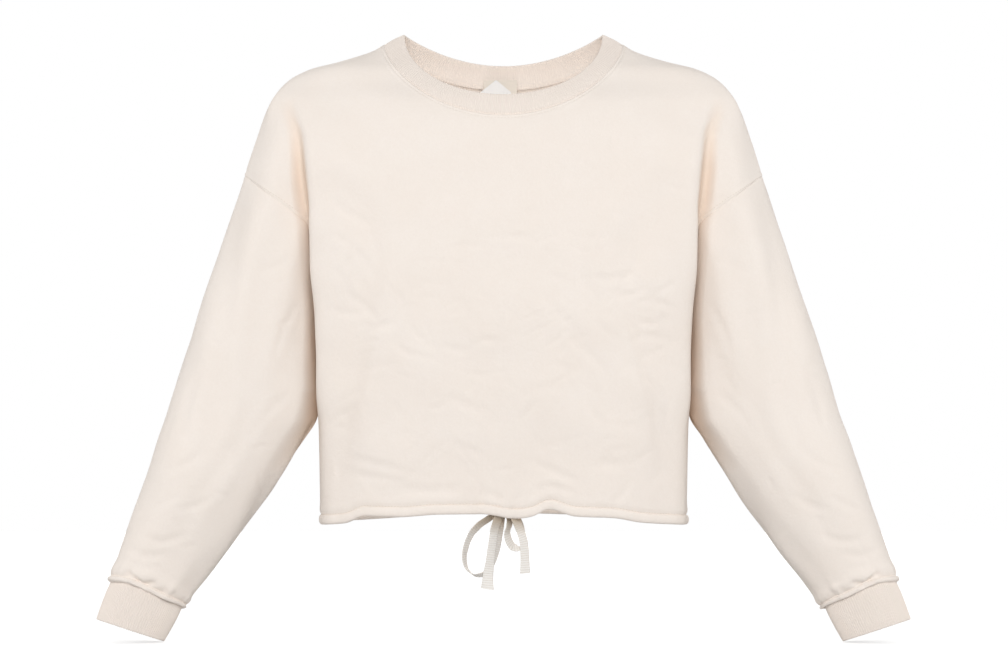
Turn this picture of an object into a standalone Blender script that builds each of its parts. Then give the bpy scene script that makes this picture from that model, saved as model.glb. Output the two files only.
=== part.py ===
"""Cropped drop-shoulder sweatshirt in its worn, filled-out form.

Metres, +Z up. The front faces -Y and the wearer's right side is at -X. The origin is on
the centre line, at the height where the neckband meets the shoulder line. The tables are
in millimetres, and y in them is positive towards the back.
"""
from collections import namedtuple
import math

import bpy
import numpy as np

MM = 0.001

# --- driving sizes, millimetres ---
CLOTH = 2.0             # loopback sweatshirt cloth
RIB = 2.4               # ribbed neckband and cuffs
SEAM_GAP = 0.3          # between two pieces that are sewn together
RIDGE_Y = 4.0           # the shoulder seam and side seam run along this plane
NECK_HALF = 118.7       # neckband seam, centre line to shoulder line
NECK_FRONT_DROP = 73.5
NECK_BACK_DROP = 40.0
BAND_HALF = 99.0        # free edge of the neckband
BAND_TOP = 10.0
BAND_FRONT = -53.0
BAND_BACK = -18.0
BAND_MIDDLE_Y = 6.0     # that edge's front and back lie this far either side of its middle
BAND_FRONT_Y = -66.0
BAND_BACK_Y = 62.0
BAND_BULGE = 1.6        # how far the rib stands out between its two edges
TIP_X, TIP = 259.0, -132.0    # where the armhole seam crosses the shoulder line
NECK_POINT = -0.35            # highest level of the cloth, at the side of the neck
SHOULDER_BEND = -40.0         # where the shoulder line turns down over the arm
UNDERARM = -348.0
SEAM_JOINS_FOLD = -177.0      # above this the armhole seam slopes out over the arm
ARMHOLE_SLOPE = 62.0 / 45.0   # out for each millimetre up
SIDE_X = 184.0                # side seam at the hem
HEM_LEVEL = -465.0            # mean height of the hem
# Where the sleeve lies against the body in the armpit: its distance off it, row by row.
ARMPIT_STAND_OFF = (0.3, 0.9, 0.9, 0.5)
TAPE_WIDE = 11.0
TAPE_THICK = 1.4
KNOT_FOOT = -466.2      # flat underside of the bow's knot

# --- grid sizes ---
NECK_COLUMNS = 7
SHOULDER_COLUMNS = 7
SIDE_ROWS = 5
ARMHOLE_ROWS = 10
SLEEVE_ROWS = 13
CUFF_ROWS = 3
BAND_ROWS = 3
ARMHOLE_CROWD = 1.15    # over 1: armhole rows lie closer together towards the shoulder
SLEEVE_CROWD = 1.25     # over 1: sleeve rows lie closer together towards the armhole
HEM_SPLIT = 0.46        # share of the hem's half width under the neck's columns
HEM_CROWD = 0.8         # under 1: the other columns lie closer together at the side seam

# One row for each level section of the body, from the centre out: how far forward the
# centre is, the soft fold that edges the body, the valley behind it, and the front and the
# outer line of the upper arm. "back" scales the front's depth to the back's.
Section = namedtuple("Section", "height chest fold_x fold_y valley_x valley_y "
                                "arm_x arm_y outer_x back")
FOLD_AT, VALLEY_AT, ARM_AT = 0.878, 0.915, 0.955


def plain(height, chest, outer_x, back):
    """A section above the fold: one smooth oval from the centre to the shoulder line."""
    def oval(part):
        return RIDGE_Y + (chest - RIDGE_Y) * math.sqrt(1 - part * part)
    return Section(height, chest, FOLD_AT * outer_x, oval(FOLD_AT), VALLEY_AT * outer_x,
                   oval(VALLEY_AT), ARM_AT * outer_x, oval(ARM_AT), outer_x, back)


BODY = [
    Section(-484, -92, 178, -34, 182.5, 4, 184, 20, 184, 0.88),
    Section(-426, -97, 179, -37, 183, 4, 184, 20, 184, 0.88),
    Section(-386, -100, 181.5, -40, 183, 4, 184, 20, 184, 0.88),
    Section(-348, -102, 186, -42, 181, 4, 254, -50, 330, 0.88),
    Section(-320, -103, 186.5, -44, 182.5, -3, 248, -50, 321, 0.88),
    Section(-270, -104, 188.5, -48, 186, -11, 239, -49, 305, 0.88),
    Section(-220, -101, 190, -52, 190, -21, 233, -47, 288, 0.90),
    Section(-177, -96, 192.5, -56, 197, -33, 231, -44, 273.5, 0.93),
    Section(-132, -88, 195.5, -57, 203, -46, 231, -38, 259, 0.96),
    Section(-96, -80, 200, -48, 206, -42, 226, -32, 247.5, 1.00),
    plain(-60, -65, 233.5, 1.08),
    plain(-37.5, -47, 216, 1.14),
    plain(-25.5, -40, 194, 1.16),
    plain(-17, -33, 161, 1.18),
    plain(-8, -24, 134, 1.20),
    plain(0, -15, NECK_HALF, 1.20),
]

# One row for each level section of the sleeve: its inner and outer line, its half depth
# and the y of its middle.
Tube = namedtuple("Tube", "height inner outer deep middle")
SLEEVE = [
    Tube(-132, 186, 259, 43, 4),
    Tube(-177, 182, 274, 49, 4),
    Tube(-220, 184, 288, 53, 4),
    Tube(-270, 184, 305, 55, 4),
    Tube(-320, 183, 321, 56, 4),
    Tube(-348, 182.6, 330, 56, 4),
    Tube(-372, 186.5, 337, 55, 3),
    Tube(-396, 200, 346, 53, 1),
    Tube(-436, 226.5, 359, 48, -2),
    Tube(-476, 253.5, 373, 42, -4),
    Tube(-516, 282.5, 387.5, 34, -6),
    Tube(-564, 319, 404, 27, -8),
]
# The cuff seam runs from its outer end to its inner end, and so does the cuff's free edge.
# "lift" is how much higher the edge runs at the front than at the back.
Edge = namedtuple("Edge", "outer_x outer_z inner_x inner_z deep middle lift")
CUFF_SEAM = Edge(394.0, -537.5, 319.5, -564.0, 27.5, -7.0, 4.5)
CUFF_END = Edge(406.5, -574.5, 338.7, -596.8, 24.0, -10.0, 1.5)

# Top edge of the drawstring casing along the front: where, and how high.
Lift = namedtuple("Lift", "across height")
FRONT_HEM = [Lift(-SIDE_X, -470.5), Lift(-157, -468), Lift(-137, -460.5), Lift(-105, -461),
             Lift(-62, -458), Lift(-20, -457.5), Lift(12, -462), Lift(27, -460),
             Lift(45, -453), Lift(71, -460), Lift(109, -462), Lift(137, -467),
             Lift(SIDE_X, -470.5)]
BACK_HEM = [Lift(-SIDE_X, -470.5), Lift(-120, -468), Lift(-60, -464.5), Lift(0, -463.5),
            Lift(60, -464.5), Lift(120, -467), Lift(SIDE_X, -470.5)]

# Drawstring tape, from where it leaves the knot: the route, and the turn of its width from
# straight across (0) to straight back (90 degrees).
Turn = namedtuple("Turn", "x y z turn")
TAPES = {
    "drawstring_loop_right": [
        Turn(-8, -80, -466.5, 62), Turn(-14, -80.5, -471, 66), Turn(-23, -81, -478.5, 70),
        Turn(-31.5, -81, -488, 72), Turn(-36.5, -80.5, -500, 74), Turn(-38.3, -80, -511, 76),
        Turn(-35.5, -79, -521, 74), Turn(-28, -77.5, -526.8, 70), Turn(-19, -76, -525.8, 68),
        Turn(-12, -75.5, -517, 68), Turn(-7, -76, -504, 66), Turn(-3.8, -77, -488, 64),
        Turn(-2, -78.5, -475, 62), Turn(-1, -79.5, -466.5, 62)],
    "drawstring_tail_right": [
        Turn(-4, -87, -466.5, 8), Turn(-5.5, -87, -471.5, 16), Turn(-9.5, -86.5, -482, 24),
        Turn(-11.8, -86, -496, 16), Turn(-13.4, -86, -512, 10), Turn(-15, -86, -526, 16),
        Turn(-15.9, -86, -540.5, 4)],
    "drawstring_loop_left": [
        Turn(5, -80, -466.5, 62), Turn(6.3, -80.5, -471.5, 58), Turn(5.6, -81, -478, 54),
        Turn(3.6, -81, -485.5, 54), Turn(5.2, -80, -493, 56), Turn(10.2, -78.5, -499.5, 60),
        Turn(16, -77, -499.5, 62), Turn(18.5, -76.5, -491.5, 62), Turn(17.5, -77.5, -481, 62),
        Turn(14, -79, -472.5, 62), Turn(11.5, -80, -466.5, 62)],
    "drawstring_tail_left": [
        Turn(10.5, -87, -466.5, 8), Turn(12, -87, -471.5, 20), Turn(15.8, -86.5, -481, 26),
        Turn(19.6, -86, -493, 14), Turn(20.9, -86, -508, 6), Turn(21.1, -86, -525, 4)],
}

COLOURS = {"cloth": (0.905, 0.84, 0.775), "rib": (0.87, 0.80, 0.74),
           "tape": (0.86, 0.83, 0.79), "label": (0.93, 0.93, 0.92)}


def through(knots, values, at):
    """Smooth curve through a table's values that never overshoots them."""
    knots, values = np.asarray(knots, float), np.asarray(values, float)
    step = np.diff(knots)
    slope = np.diff(values) / step
    tangent = np.empty(len(values))
    tangent[0], tangent[-1] = slope[0], slope[-1]
    both = slope[:-1] * slope[1:]
    weight_a, weight_b = 2 * step[1:] + step[:-1], step[1:] + 2 * step[:-1]
    safe = np.where(both > 0, slope[:-1] * weight_b + slope[1:] * weight_a, 1.0)
    tangent[1:-1] = np.where(both > 0, (weight_a + weight_b) * both / safe, 0.0)
    at = np.clip(np.asarray(at, float), knots[0], knots[-1])
    i = np.clip(np.searchsorted(knots, at) - 1, 0, len(step) - 1)
    u = (at - knots[i]) / step[i]
    return ((1 + 2 * u) * (1 - u) ** 2 * values[i] + u * (1 - u) ** 2 * step[i] * tangent[i]
            + u * u * (3 - 2 * u) * values[i + 1]
            - u * u * (1 - u) * step[i] * tangent[i + 1])


def column(table, name, at):
    return through([row.height for row in table], [getattr(row, name) for row in table], at)


def curve_through(points, steps):
    """Points along a smooth curve; the first and last given points only steer its ends."""
    points = np.asarray(points, float)
    gap = np.maximum(np.linalg.norm(np.diff(points, axis=-2), axis=-1, keepdims=True), 1e-6)
    run = np.diff(points, axis=-2) / gap
    before, after = gap[..., :-1, :], gap[..., 1:, :]
    tangent = (run[..., :-1, :] * after + run[..., 1:, :] * before) / (before + after)
    out = []
    for k in range(points.shape[-2] - 3):
        start, end = points[..., k + 1, :], points[..., k + 2, :]
        length = gap[..., k + 1, :]
        for u in np.arange(steps) / steps:
            out.append((1 + 2 * u) * (1 - u) ** 2 * start
                       + u * (1 - u) ** 2 * length * tangent[..., k, :]
                       + u * u * (3 - 2 * u) * end
                       - u * u * (1 - u) * length * tangent[..., k + 1, :])
    out.append(points[..., -2, :])
    return np.stack(out, axis=-2)


class Half:
    """One half of the body's front or back as level sections, measured along the cloth."""
    LEVELS = np.linspace(BODY[0].height, BODY[-1].height, 485)
    STEPS = 14
    CHEST_STATIONS = (0.35, 0.65, 0.86)
    CHEST_POWER = 2.8

    def __init__(self, back):
        h = self.LEVELS
        get = {name: column(BODY, name, h) for name in Section._fields[1:]}
        scale = get["back"] if back else np.ones_like(h)
        side = -1.0 if back else 1.0

        def depth(y):
            return RIDGE_Y + side * scale * (y - RIDGE_Y)
        chest, fold_y = get["chest"], get["fold_y"]
        stations = [(np.zeros_like(h), depth(chest))]
        for part in self.CHEST_STATIONS:
            y = chest + (fold_y - chest) * part ** self.CHEST_POWER
            stations.append((part * get["fold_x"], depth(y)))
        stations.append((get["fold_x"], depth(fold_y)))
        stations.append((get["valley_x"], depth(get["valley_y"])))
        arm = np.stack([get["arm_x"], depth(get["arm_y"])], -1)
        outer = np.stack([get["outer_x"], np.full_like(h, RIDGE_Y)], -1)
        body = np.stack([np.stack(p, -1) for p in stations], axis=1)
        fold, valley = body[:, -2], body[:, -1]
        # Down in the armpit the cloth runs straight back to its seam; higher up it turns
        # smoothly out over the arm.
        open_out = np.clip((h - SEAM_JOINS_FOLD) / (TIP - SEAM_JOINS_FOLD), 0, 1)[:, None]
        inward = valley + (valley - fold) * [0.2, 1.0]
        body = np.concatenate([body[:, 1:2] * [-1, 1], body,
                               (inward * (1 - open_out) + arm * open_out)[:, None]], axis=1)
        turn = arm * [0.42, 0.3] + outer * [0.58, 0.7] + [3.0, 0] - [0, side * 6.0]
        before = valley + (valley - arm) * [0.3, 0.3]
        before = before * (1 - open_out) + fold * open_out
        over = np.stack([before, valley, arm, turn, outer,
                         turn * [1, -1] + [0, 2 * RIDGE_Y]], axis=1)
        torso, sleeve = curve_through(body, self.STEPS), curve_through(over, self.STEPS)
        self.path = np.concatenate([torso, sleeve[:, 1:]], axis=1)
        gap = np.linalg.norm(np.diff(self.path, axis=1), axis=2)
        self.along = np.concatenate([np.zeros((len(h), 1)), np.cumsum(gap, axis=1)], axis=1)
        self.valley_at = self.along[:, torso.shape[1] - 1]
        self.valley_index = torso.shape[1] - 1

    def to_valley(self, height):
        return np.interp(height, self.LEVELS, self.valley_at)

    def to_outer(self, height):
        return np.interp(height, self.LEVELS, self.along[:, -1])

    def reach(self, height, x, start=0):
        """Distance along the section at this height, from its centre, to where it is x out."""
        k = int(np.clip(np.searchsorted(self.LEVELS, height), 1, len(self.LEVELS) - 1))
        mix = (height - self.LEVELS[k - 1]) / (self.LEVELS[k] - self.LEVELS[k - 1])
        low, high = (np.interp(x, self.path[i, start:, 0], self.along[i, start:])
                     for i in (k - 1, k))
        return low + (high - low) * mix

    def point(self, distance, height):
        """3-D points at distances along the sections at these heights."""
        distance, height = np.broadcast_arrays(np.asarray(distance, float),
                                               np.asarray(height, float))
        flat_d, flat_h = distance.ravel(), height.ravel()
        spot = np.clip((flat_h - self.LEVELS[0]) / (self.LEVELS[1] - self.LEVELS[0]), 0,
                       len(self.LEVELS) - 1.000001)
        k = spot.astype(int)
        mix = spot - k
        out = np.empty((len(flat_d), 3))
        for n in range(len(flat_d)):
            for axis in (0, 1):
                low = np.interp(flat_d[n], self.along[k[n]], self.path[k[n], :, axis])
                high = np.interp(flat_d[n], self.along[k[n] + 1],
                                 self.path[k[n] + 1, :, axis])
                out[n, axis] = low + (high - low) * mix[n]
        out[:, 2] = flat_h
        return out.reshape(distance.shape + (3,))

    def normal(self, distance, height, side):
        small = 1.5
        height = np.asarray(height, float)
        up = np.minimum(height + small, -0.3)
        down = up - 2 * small
        end = np.where(height <= SEAM_JOINS_FOLD, self.to_valley(height),
                       self.to_outer(height))
        beyond = np.minimum(distance + small, end)
        across = self.point(beyond, height) - self.point(beyond - 2 * small, height)
        rise = self.point(distance, up) - self.point(distance, down)
        out = np.cross(across, rise) * side
        # Front and back share one plane at the shoulder and side seams.
        ridge = (end - distance < 0.5) & ((height >= TIP) | (height <= UNDERARM))
        out[..., 1] = np.where(ridge, 0.0, out[..., 1])
        return out / np.linalg.norm(out, axis=-1, keepdims=True)


HALVES = {"front": Half(back=False), "back": Half(back=True)}


def neck_line(which, grow=0.0, count=NECK_COLUMNS):
    """Chart points of the neckband seam, from the centre to the shoulder line."""
    drop, power = ((NECK_FRONT_DROP, 1.3) if which == "front" else (NECK_BACK_DROP, 1.6))
    half = HALVES[which]
    angle = np.linspace(math.pi / 2, 0, count + 1)
    out = []
    for a in angle:
        z = min(-(drop + grow) * math.sin(a) ** power, NECK_POINT)
        x = (NECK_HALF + grow) * math.cos(a)
        out.append((half.reach(z, x), z))
    out[-1] = (float(half.to_outer(out[-1][1])) - grow, out[-1][1])
    return np.array(out)


def armhole_line(which, pull, count=ARMHOLE_ROWS):
    """Chart points of the armhole seam, from the underarm up to the shoulder line."""
    half = HALVES[which]
    heights = np.concatenate([np.linspace(UNDERARM, SEAM_JOINS_FOLD, 40),
                              np.linspace(SEAM_JOINS_FOLD, TIP, 40)[1:]])
    reach = []
    for z in heights:
        if z <= SEAM_JOINS_FOLD:
            reach.append(float(half.to_valley(z)))
            continue
        x = TIP_X - (TIP - z) * ARMHOLE_SLOPE
        reach.append(float(half.reach(z, x, half.valley_index)))
    reach[-1] = float(half.to_outer(TIP))
    chart = np.stack([reach, heights], -1)
    solid = half.point(chart[:, 0], chart[:, 1])
    length = np.concatenate([[0], np.cumsum(np.linalg.norm(np.diff(solid, axis=0), axis=1))])
    want = length[-1] * (1 - (1 - np.arange(count + 1) / count) ** ARMHOLE_CROWD)
    out = np.stack([np.interp(want, length, chart[:, i]) for i in (0, 1)], -1)
    out[:, 0] -= pull
    return out


def hem_height(table, x):
    return through([row.across for row in table], [row.height for row in table], x)


def panel_chart(which, sign):
    """Grid of chart points for half a panel: rows from the hem up, columns outwards."""
    half = HALVES[which]
    hem = FRONT_HEM if which == "front" else BACK_HEM
    neck = neck_line(which, grow=SEAM_GAP / 2)
    edge = SEAM_GAP / 2
    run = np.linspace(0, 1, SHOULDER_COLUMNS + 1)
    line_z = np.concatenate([np.linspace(NECK_POINT, SHOULDER_BEND, 30),
                             np.linspace(SHOULDER_BEND - 2, TIP, 40)])
    ridge = half.point(half.to_outer(line_z), line_z)
    length = np.concatenate([[0], np.cumsum(np.linalg.norm(np.diff(ridge, axis=0), axis=1))])
    shoulder_z = np.interp(run * length[-1], length, line_z)
    shoulder = np.stack([half.to_outer(shoulder_z) - edge, shoulder_z], -1)
    top = np.concatenate([neck, shoulder[1:]])
    armhole = armhole_line(which, pull=SEAM_GAP)
    side_z = np.linspace(float(hem_height(hem, sign * SIDE_X)), UNDERARM, SIDE_ROWS + 1)
    side = np.stack([half.to_valley(side_z) - edge, side_z], -1)
    right = np.concatenate([side[:-1], armhole])
    right[-1] = top[-1]
    columns = NECK_COLUMNS + SHOULDER_COLUMNS
    s = np.concatenate([np.linspace(0, HEM_SPLIT, NECK_COLUMNS + 1)[:-1],
                        HEM_SPLIT + (1 - HEM_SPLIT) * run ** HEM_CROWD])
    bottom_x = right[0, 0] * s
    flat = half.point(bottom_x, np.full(columns + 1, HEM_LEVEL))
    bottom = np.stack([bottom_x, hem_height(hem, sign * flat[:, 0])], -1)
    bottom[-1] = right[0]
    rows = SIDE_ROWS + ARMHOLE_ROWS
    rise = np.concatenate([[0], np.cumsum(np.linalg.norm(np.diff(right, axis=0), axis=1))])
    t = rise / rise[-1]
    left = np.stack([np.zeros(rows + 1),
                     bottom[0, 1] + (top[0, 1] - bottom[0, 1]) * t], -1)
    S, T = s[None, :, None], t[:, None, None]
    corners = ((1 - S) * (1 - T) * bottom[0] + S * (1 - T) * bottom[-1]
               + (1 - S) * T * top[0] + S * T * top[-1])
    return ((1 - T) * bottom[None] + T * top[None] + (1 - S) * left[:, None]
            + S * right[:, None] - corners)


def material(kind, rough):
    name = kind + "_finish"
    made = bpy.data.materials.get(name)
    if made is None:
        made = bpy.data.materials.new(name)
        made.use_nodes = True
        shader = made.node_tree.nodes["Principled BSDF"]
        shader.inputs["Base Color"].default_value = (*COLOURS[kind], 1)
        shader.inputs["Roughness"].default_value = rough
        shader.inputs["Metallic"].default_value = 0.0
    return made


def build(name, points, faces, kind, rough=0.9):
    mesh = bpy.data.meshes.new(name)
    mesh.from_pydata([tuple(p) for p in np.asarray(points) * MM], [], faces)
    mesh.materials.append(material(kind, rough))
    mesh.shade_smooth()
    mesh.set_sharp_from_angle(angle=math.radians(50))
    thing = bpy.data.objects.new(name, mesh)
    bpy.context.collection.objects.link(thing)
    return thing


def wall(name, outer, normals, thick, kind, ring=False):
    """A cloth wall: the outer grid, the same grid moved in, and rims between them.

    Grid rows run up and columns run to the right seen from outside. Both faces are cut
    along the same diagonals, so the wall keeps its thickness.
    """
    rows, columns = outer.shape[:2]
    inner = outer - normals * thick
    count = rows * columns
    points = np.concatenate([outer.reshape(-1, 3), inner.reshape(-1, 3)])
    faces = []
    span = columns if ring else columns - 1
    for r in range(rows - 1):
        for c in range(span):
            d = (c + 1) % columns
            quad = (r * columns + c, r * columns + d, (r + 1) * columns + d,
                    (r + 1) * columns + c)
            rising = np.linalg.norm(points[quad[0]] - points[quad[2]])
            falling = np.linalg.norm(points[quad[1]] - points[quad[3]])
            cut = 0 if rising < falling else 1
            for turn in (0, 2):
                three = tuple(quad[(cut + turn + k) % 4] for k in range(3))
                faces.append(three)
                faces.append(tuple(count + i for i in reversed(three)))
    for c in range(span):
        d = (c + 1) % columns
        low, high = 0, (rows - 1) * columns
        faces.append((low + d, low + c, count + low + c, count + low + d))
        faces.append((high + c, high + d, count + high + d, count + high + c))
    if not ring:
        for r in range(rows - 1):
            a, b = r * columns, (r + 1) * columns
            faces.append((a, b, count + b, count + a))
            a, b = a + columns - 1, b + columns - 1
            faces.append((b, a, count + a, count + b))
    return build(name, points, faces, kind)


def mirrored(points):
    return points * [-1, 1, 1]


def panel(which):
    """A whole front or back panel: both halves, hem to shoulder."""
    half = HALVES[which]
    grids = []
    for sign in (-1, 1):
        chart = panel_chart(which, sign)
        points = half.point(chart[..., 0], chart[..., 1])
        side = 1.0 if which == "front" else -1.0
        normals = half.normal(chart[..., 0], chart[..., 1], side)
        if sign < 0:
            points, normals = mirrored(points)[:, :0:-1], mirrored(normals)[:, :0:-1]
        grids.append((points, normals))
    points = np.concatenate([g[0] for g in grids], axis=1)
    normals = np.concatenate([g[1] for g in grids], axis=1)
    if which == "back":
        points, normals = points[:, ::-1], normals[:, ::-1]
    return points, normals


def sleeve_point(angle, height):
    """Point of the plain sleeve tube: angle 0 outside, 90 in front, 180 inside, 270 behind."""
    inner, outer = column_down("inner", height), column_down("outer", height)
    deep, middle = column_down("deep", height), column_down("middle", height)
    return np.stack([(inner + outer) / 2 + (outer - inner) / 2 * np.cos(angle),
                     middle - deep * np.sin(angle), height], -1)


def column_down(name, height):
    table = SLEEVE[::-1]
    return through([row.height for row in table], [getattr(row, name) for row in table],
                   height)


def armhole_ring():
    """Armhole seam as a ring: shoulder line, front, underarm, back."""
    front_chart = armhole_line("front", pull=0.0)[::-1]
    back_chart = armhole_line("back", pull=0.0)
    front = HALVES["front"].point(front_chart[:, 0], front_chart[:, 1])
    back = HALVES["back"].point(back_chart[:, 0], back_chart[:, 1])
    return np.concatenate([front[:-1], back[:-1]])


def edge_ring(edge, count):
    angle = np.arange(count) * 2 * math.pi / count
    centre_x, centre_z = (edge.inner_x + edge.outer_x) / 2, (edge.inner_z + edge.outer_z) / 2
    return np.stack([centre_x + (edge.outer_x - edge.inner_x) / 2 * np.cos(angle),
                     edge.middle - edge.deep * np.sin(angle),
                     centre_z + (edge.outer_z - edge.inner_z) / 2 * np.cos(angle)
                     + edge.lift * np.sin(angle)], -1)


def ring_normals(grid):
    """Outward normals of a tube whose rows run down and whose columns go outside, front."""
    across = np.roll(grid, -1, axis=1) - np.roll(grid, 1, axis=1)
    down = np.gradient(grid, axis=0)
    out = np.cross(across, down)
    return out / np.linalg.norm(out, axis=-1, keepdims=True)


def sleeve_grid():
    ring = armhole_ring()
    count = len(ring)
    inner, outer = column_down("inner", ring[:, 2]), column_down("outer", ring[:, 2])
    lean = np.clip((ring[:, 0] - (inner + outer) / 2) / ((outer - inner) / 2), -1, 1)
    start = np.arccos(lean)
    start[count // 2 + 1:] = 2 * math.pi - start[count // 2 + 1:]
    start[count // 2] = math.pi
    start[0] = 0.0
    end = np.arange(count) * 2 * math.pi / count
    cuff = edge_ring(CUFF_SEAM, count)
    top_gap = ring - sleeve_point(start, ring[:, 2])
    end_gap = cuff - sleeve_point(end, cuff[:, 2])
    rows = []
    for v in np.linspace(0, 1, SLEEVE_ROWS + 1) ** SLEEVE_CROWD:
        swing = v ** 0.6
        angle = start + (end - start) * swing
        height = ring[:, 2] + (cuff[:, 2] - ring[:, 2]) * v
        rows.append(sleeve_point(angle, height) + top_gap * (1 - v) ** 5
                    + end_gap * v ** 6)
    grid = np.array(rows)
    step = grid[1] - grid[0]
    grid[0] += step / np.linalg.norm(step, axis=1, keepdims=True) * SEAM_GAP / 2
    # In the armpit the sleeve stands off the body that it lies beside.
    low = ring[:, 2] < SEAM_JOINS_FOLD
    for row, stand_off in enumerate(ARMPIT_STAND_OFF):
        grid[row, low, 0] += stand_off
    step = grid[-2] - grid[-1]
    grid[-1] += step / np.linalg.norm(step, axis=1, keepdims=True) * SEAM_GAP / 2
    return grid


def cuff_grid():
    count = 2 * ARMHOLE_ROWS
    top, end = edge_ring(CUFF_SEAM, count), edge_ring(CUFF_END, count)
    down = end - top
    top = top + down / np.linalg.norm(down, axis=1, keepdims=True) * SEAM_GAP / 2
    return np.array([top + (end - top) * v for v in np.linspace(0, 1, CUFF_ROWS + 1)])


def make_tube(name, grid, thick, kind, side):
    """A sleeve or cuff from its right-hand grid; side -1 mirrors it."""
    normals = ring_normals(grid)
    if side < 0:
        grid, normals = mirrored(grid), mirrored(normals)
    else:
        grid, normals = grid[:, ::-1], normals[:, ::-1]
    return wall(name, grid[::-1], normals[::-1], thick, kind, ring=True)


def neckband_grid():
    """Seam ring to free edge, in steps; columns from centre front towards +X, then round."""
    quarters = []
    for which in ("front", "back"):
        chart = neck_line(which)
        half = HALVES[which]
        seam = half.point(chart[:, 0], chart[:, 1])
        angle = np.linspace(math.pi / 2, 0, NECK_COLUMNS + 1)
        low, power = ((BAND_FRONT, 1.0) if which == "front" else (BAND_BACK, 2.0))
        free_z = BAND_TOP + (low - BAND_TOP) * np.sin(angle) ** power
        free_x = BAND_HALF * np.cos(angle)
        depth = BAND_FRONT_Y if which == "front" else BAND_BACK_Y
        free_y = BAND_MIDDLE_Y + (depth - BAND_MIDDLE_Y) * np.sin(angle) ** 0.95
        quarters.append((seam, np.stack([free_x, free_y, free_z], -1)))
    (front, front_free), (back, back_free) = quarters

    def whole(a, b):
        half_ring = np.concatenate([a, b[::-1][1:]])
        return np.concatenate([half_ring, mirrored(half_ring)[::-1][1:-1]])
    seam, free = whole(front, back), whole(front_free, back_free)
    rise = free - seam
    seam = seam + rise / np.linalg.norm(rise, axis=1, keepdims=True) * SEAM_GAP
    rows = []
    for v in np.linspace(0, 1, BAND_ROWS + 1):
        row = seam + (free - seam) * v
        out = row * [1, 1, 0] / np.linalg.norm(row[:, :2], axis=1, keepdims=True)
        rows.append(row + out * BAND_BULGE * math.sin(math.pi * v))
    return np.array(rows)


def make_neckband():
    grid = neckband_grid()
    across = np.roll(grid, -1, axis=1) - np.roll(grid, 1, axis=1)
    up = np.gradient(grid, axis=0)
    normals = np.cross(across, up)
    normals /= np.linalg.norm(normals, axis=-1, keepdims=True)
    return wall("neckband", grid, normals, RIB, "rib", ring=True)


def bar(name, grid, kind):
    """A solid bar: grid[k] is the line that corner k of its section follows."""
    corners, span = grid.shape[:2]
    faces = []
    for k in range(corners):
        a, b = k * span, (k + 1) % corners * span
        for c in range(span - 1):
            faces.append((b + c, b + c + 1, a + c + 1, a + c))
    faces.append(tuple(k * span for k in reversed(range(corners))))
    faces.append(tuple(k * span + span - 1 for k in range(corners)))
    return build(name, grid.reshape(-1, 3), faces, kind)


# Across the casing: how far out from the panel's face, and how far below its edge.
Corner = namedtuple("Corner", "out down")
CASING = [Corner(0.0, 0.0), Corner(1.3, 2.4), Corner(1.5, 7.2), Corner(0.2, 9.7),
          Corner(-2.6, 9.7), Corner(-3.9, 7.2), Corner(-3.9, 2.4), Corner(-2.6, 0.0)]


def make_casing(which):
    """The turned hem that carries the drawstring, made from the panel's bottom edge."""
    points, normals = panel(which)
    edge, out = points[0], normals[0] * [1, 1, 0]
    out = out / np.linalg.norm(out, axis=1, keepdims=True)
    ring = []
    for corner in CASING:
        ring.append(edge + out * corner.out - [0, 0, corner.down + SEAM_GAP])
    return bar("hem_casing_" + which, np.array(ring), "cloth")


def make_tape(name, turns):
    """One flat run of drawstring tape along its route; it meets the knot's foot squarely."""
    route = np.array([(t.x, t.y, t.z, t.turn) for t in turns], float)
    first, last = 2 * route[0] - route[1], 2 * route[-1] - route[-2]
    smooth = curve_through(np.concatenate([[first], route, [last]]), 2)
    path, turn = smooth[:, :3], np.radians(smooth[:, 3])
    along = np.gradient(path, axis=0)
    for end, way in ((0, -1.0), (-1, 1.0)):
        if path[end, 2] > KNOT_FOOT - 1:
            along[end] = (0, 0, way)
    along /= np.linalg.norm(along, axis=1, keepdims=True)
    across = np.stack([np.cos(turn), np.sin(turn), np.zeros_like(turn)], -1)
    across -= (across * along).sum(axis=1, keepdims=True) * along
    across /= np.linalg.norm(across, axis=1, keepdims=True)
    flat = np.cross(along, across)
    corners = [(-1, -1), (1, -1), (1, 1), (-1, 1)]
    grid = np.array([path + across * a * TAPE_WIDE / 2 + flat * b * TAPE_THICK / 2
                     for a, b in corners])
    return bar(name, grid, "tape")


# Level sections of the bow's knot, from the flat face that the tape leaves by, upwards.
Ring = namedtuple("Ring", "height half_wide half_deep")
KNOT_X, KNOT_Y = 3.5, -82.2
KNOT = [Ring(KNOT_FOOT, 11.8, 7.0), Ring(-464.0, 12.8, 7.5), Ring(-459.5, 11.5, 6.8),
        Ring(-456.5, 6.5, 4.0)]
KNOT_CORNERS = 12


def make_knot():
    """The knot of the bow, tied close behind the hem."""
    angle = np.arange(KNOT_CORNERS) * 2 * math.pi / KNOT_CORNERS
    lines = []
    for a in angle:
        lines.append([(KNOT_X + ring.half_wide * math.cos(a),
                       KNOT_Y + ring.half_deep * math.sin(a), ring.height) for ring in KNOT])
    return bar("drawstring_knot", np.array(lines), "tape")


# Outlines of the two labels, from the lower corner at -X round by +X, seen from the front.
Spot = namedtuple("Spot", "x z")
LABEL_BACK = 60.1       # rearmost face of the labels, just off the inside of the neck seam
TAB_THICK, LABEL_THICK = 0.6, 0.8
TAB = [Spot(-20, -63), Spot(13.5, -63), Spot(13.5, -33), Spot(-20, -33)]
LABEL = [Spot(-23.3, -71), Spot(7.6, -71), Spot(7.6, -45), Spot(-7.5, -32.7), Spot(-23.3, -45)]


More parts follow.
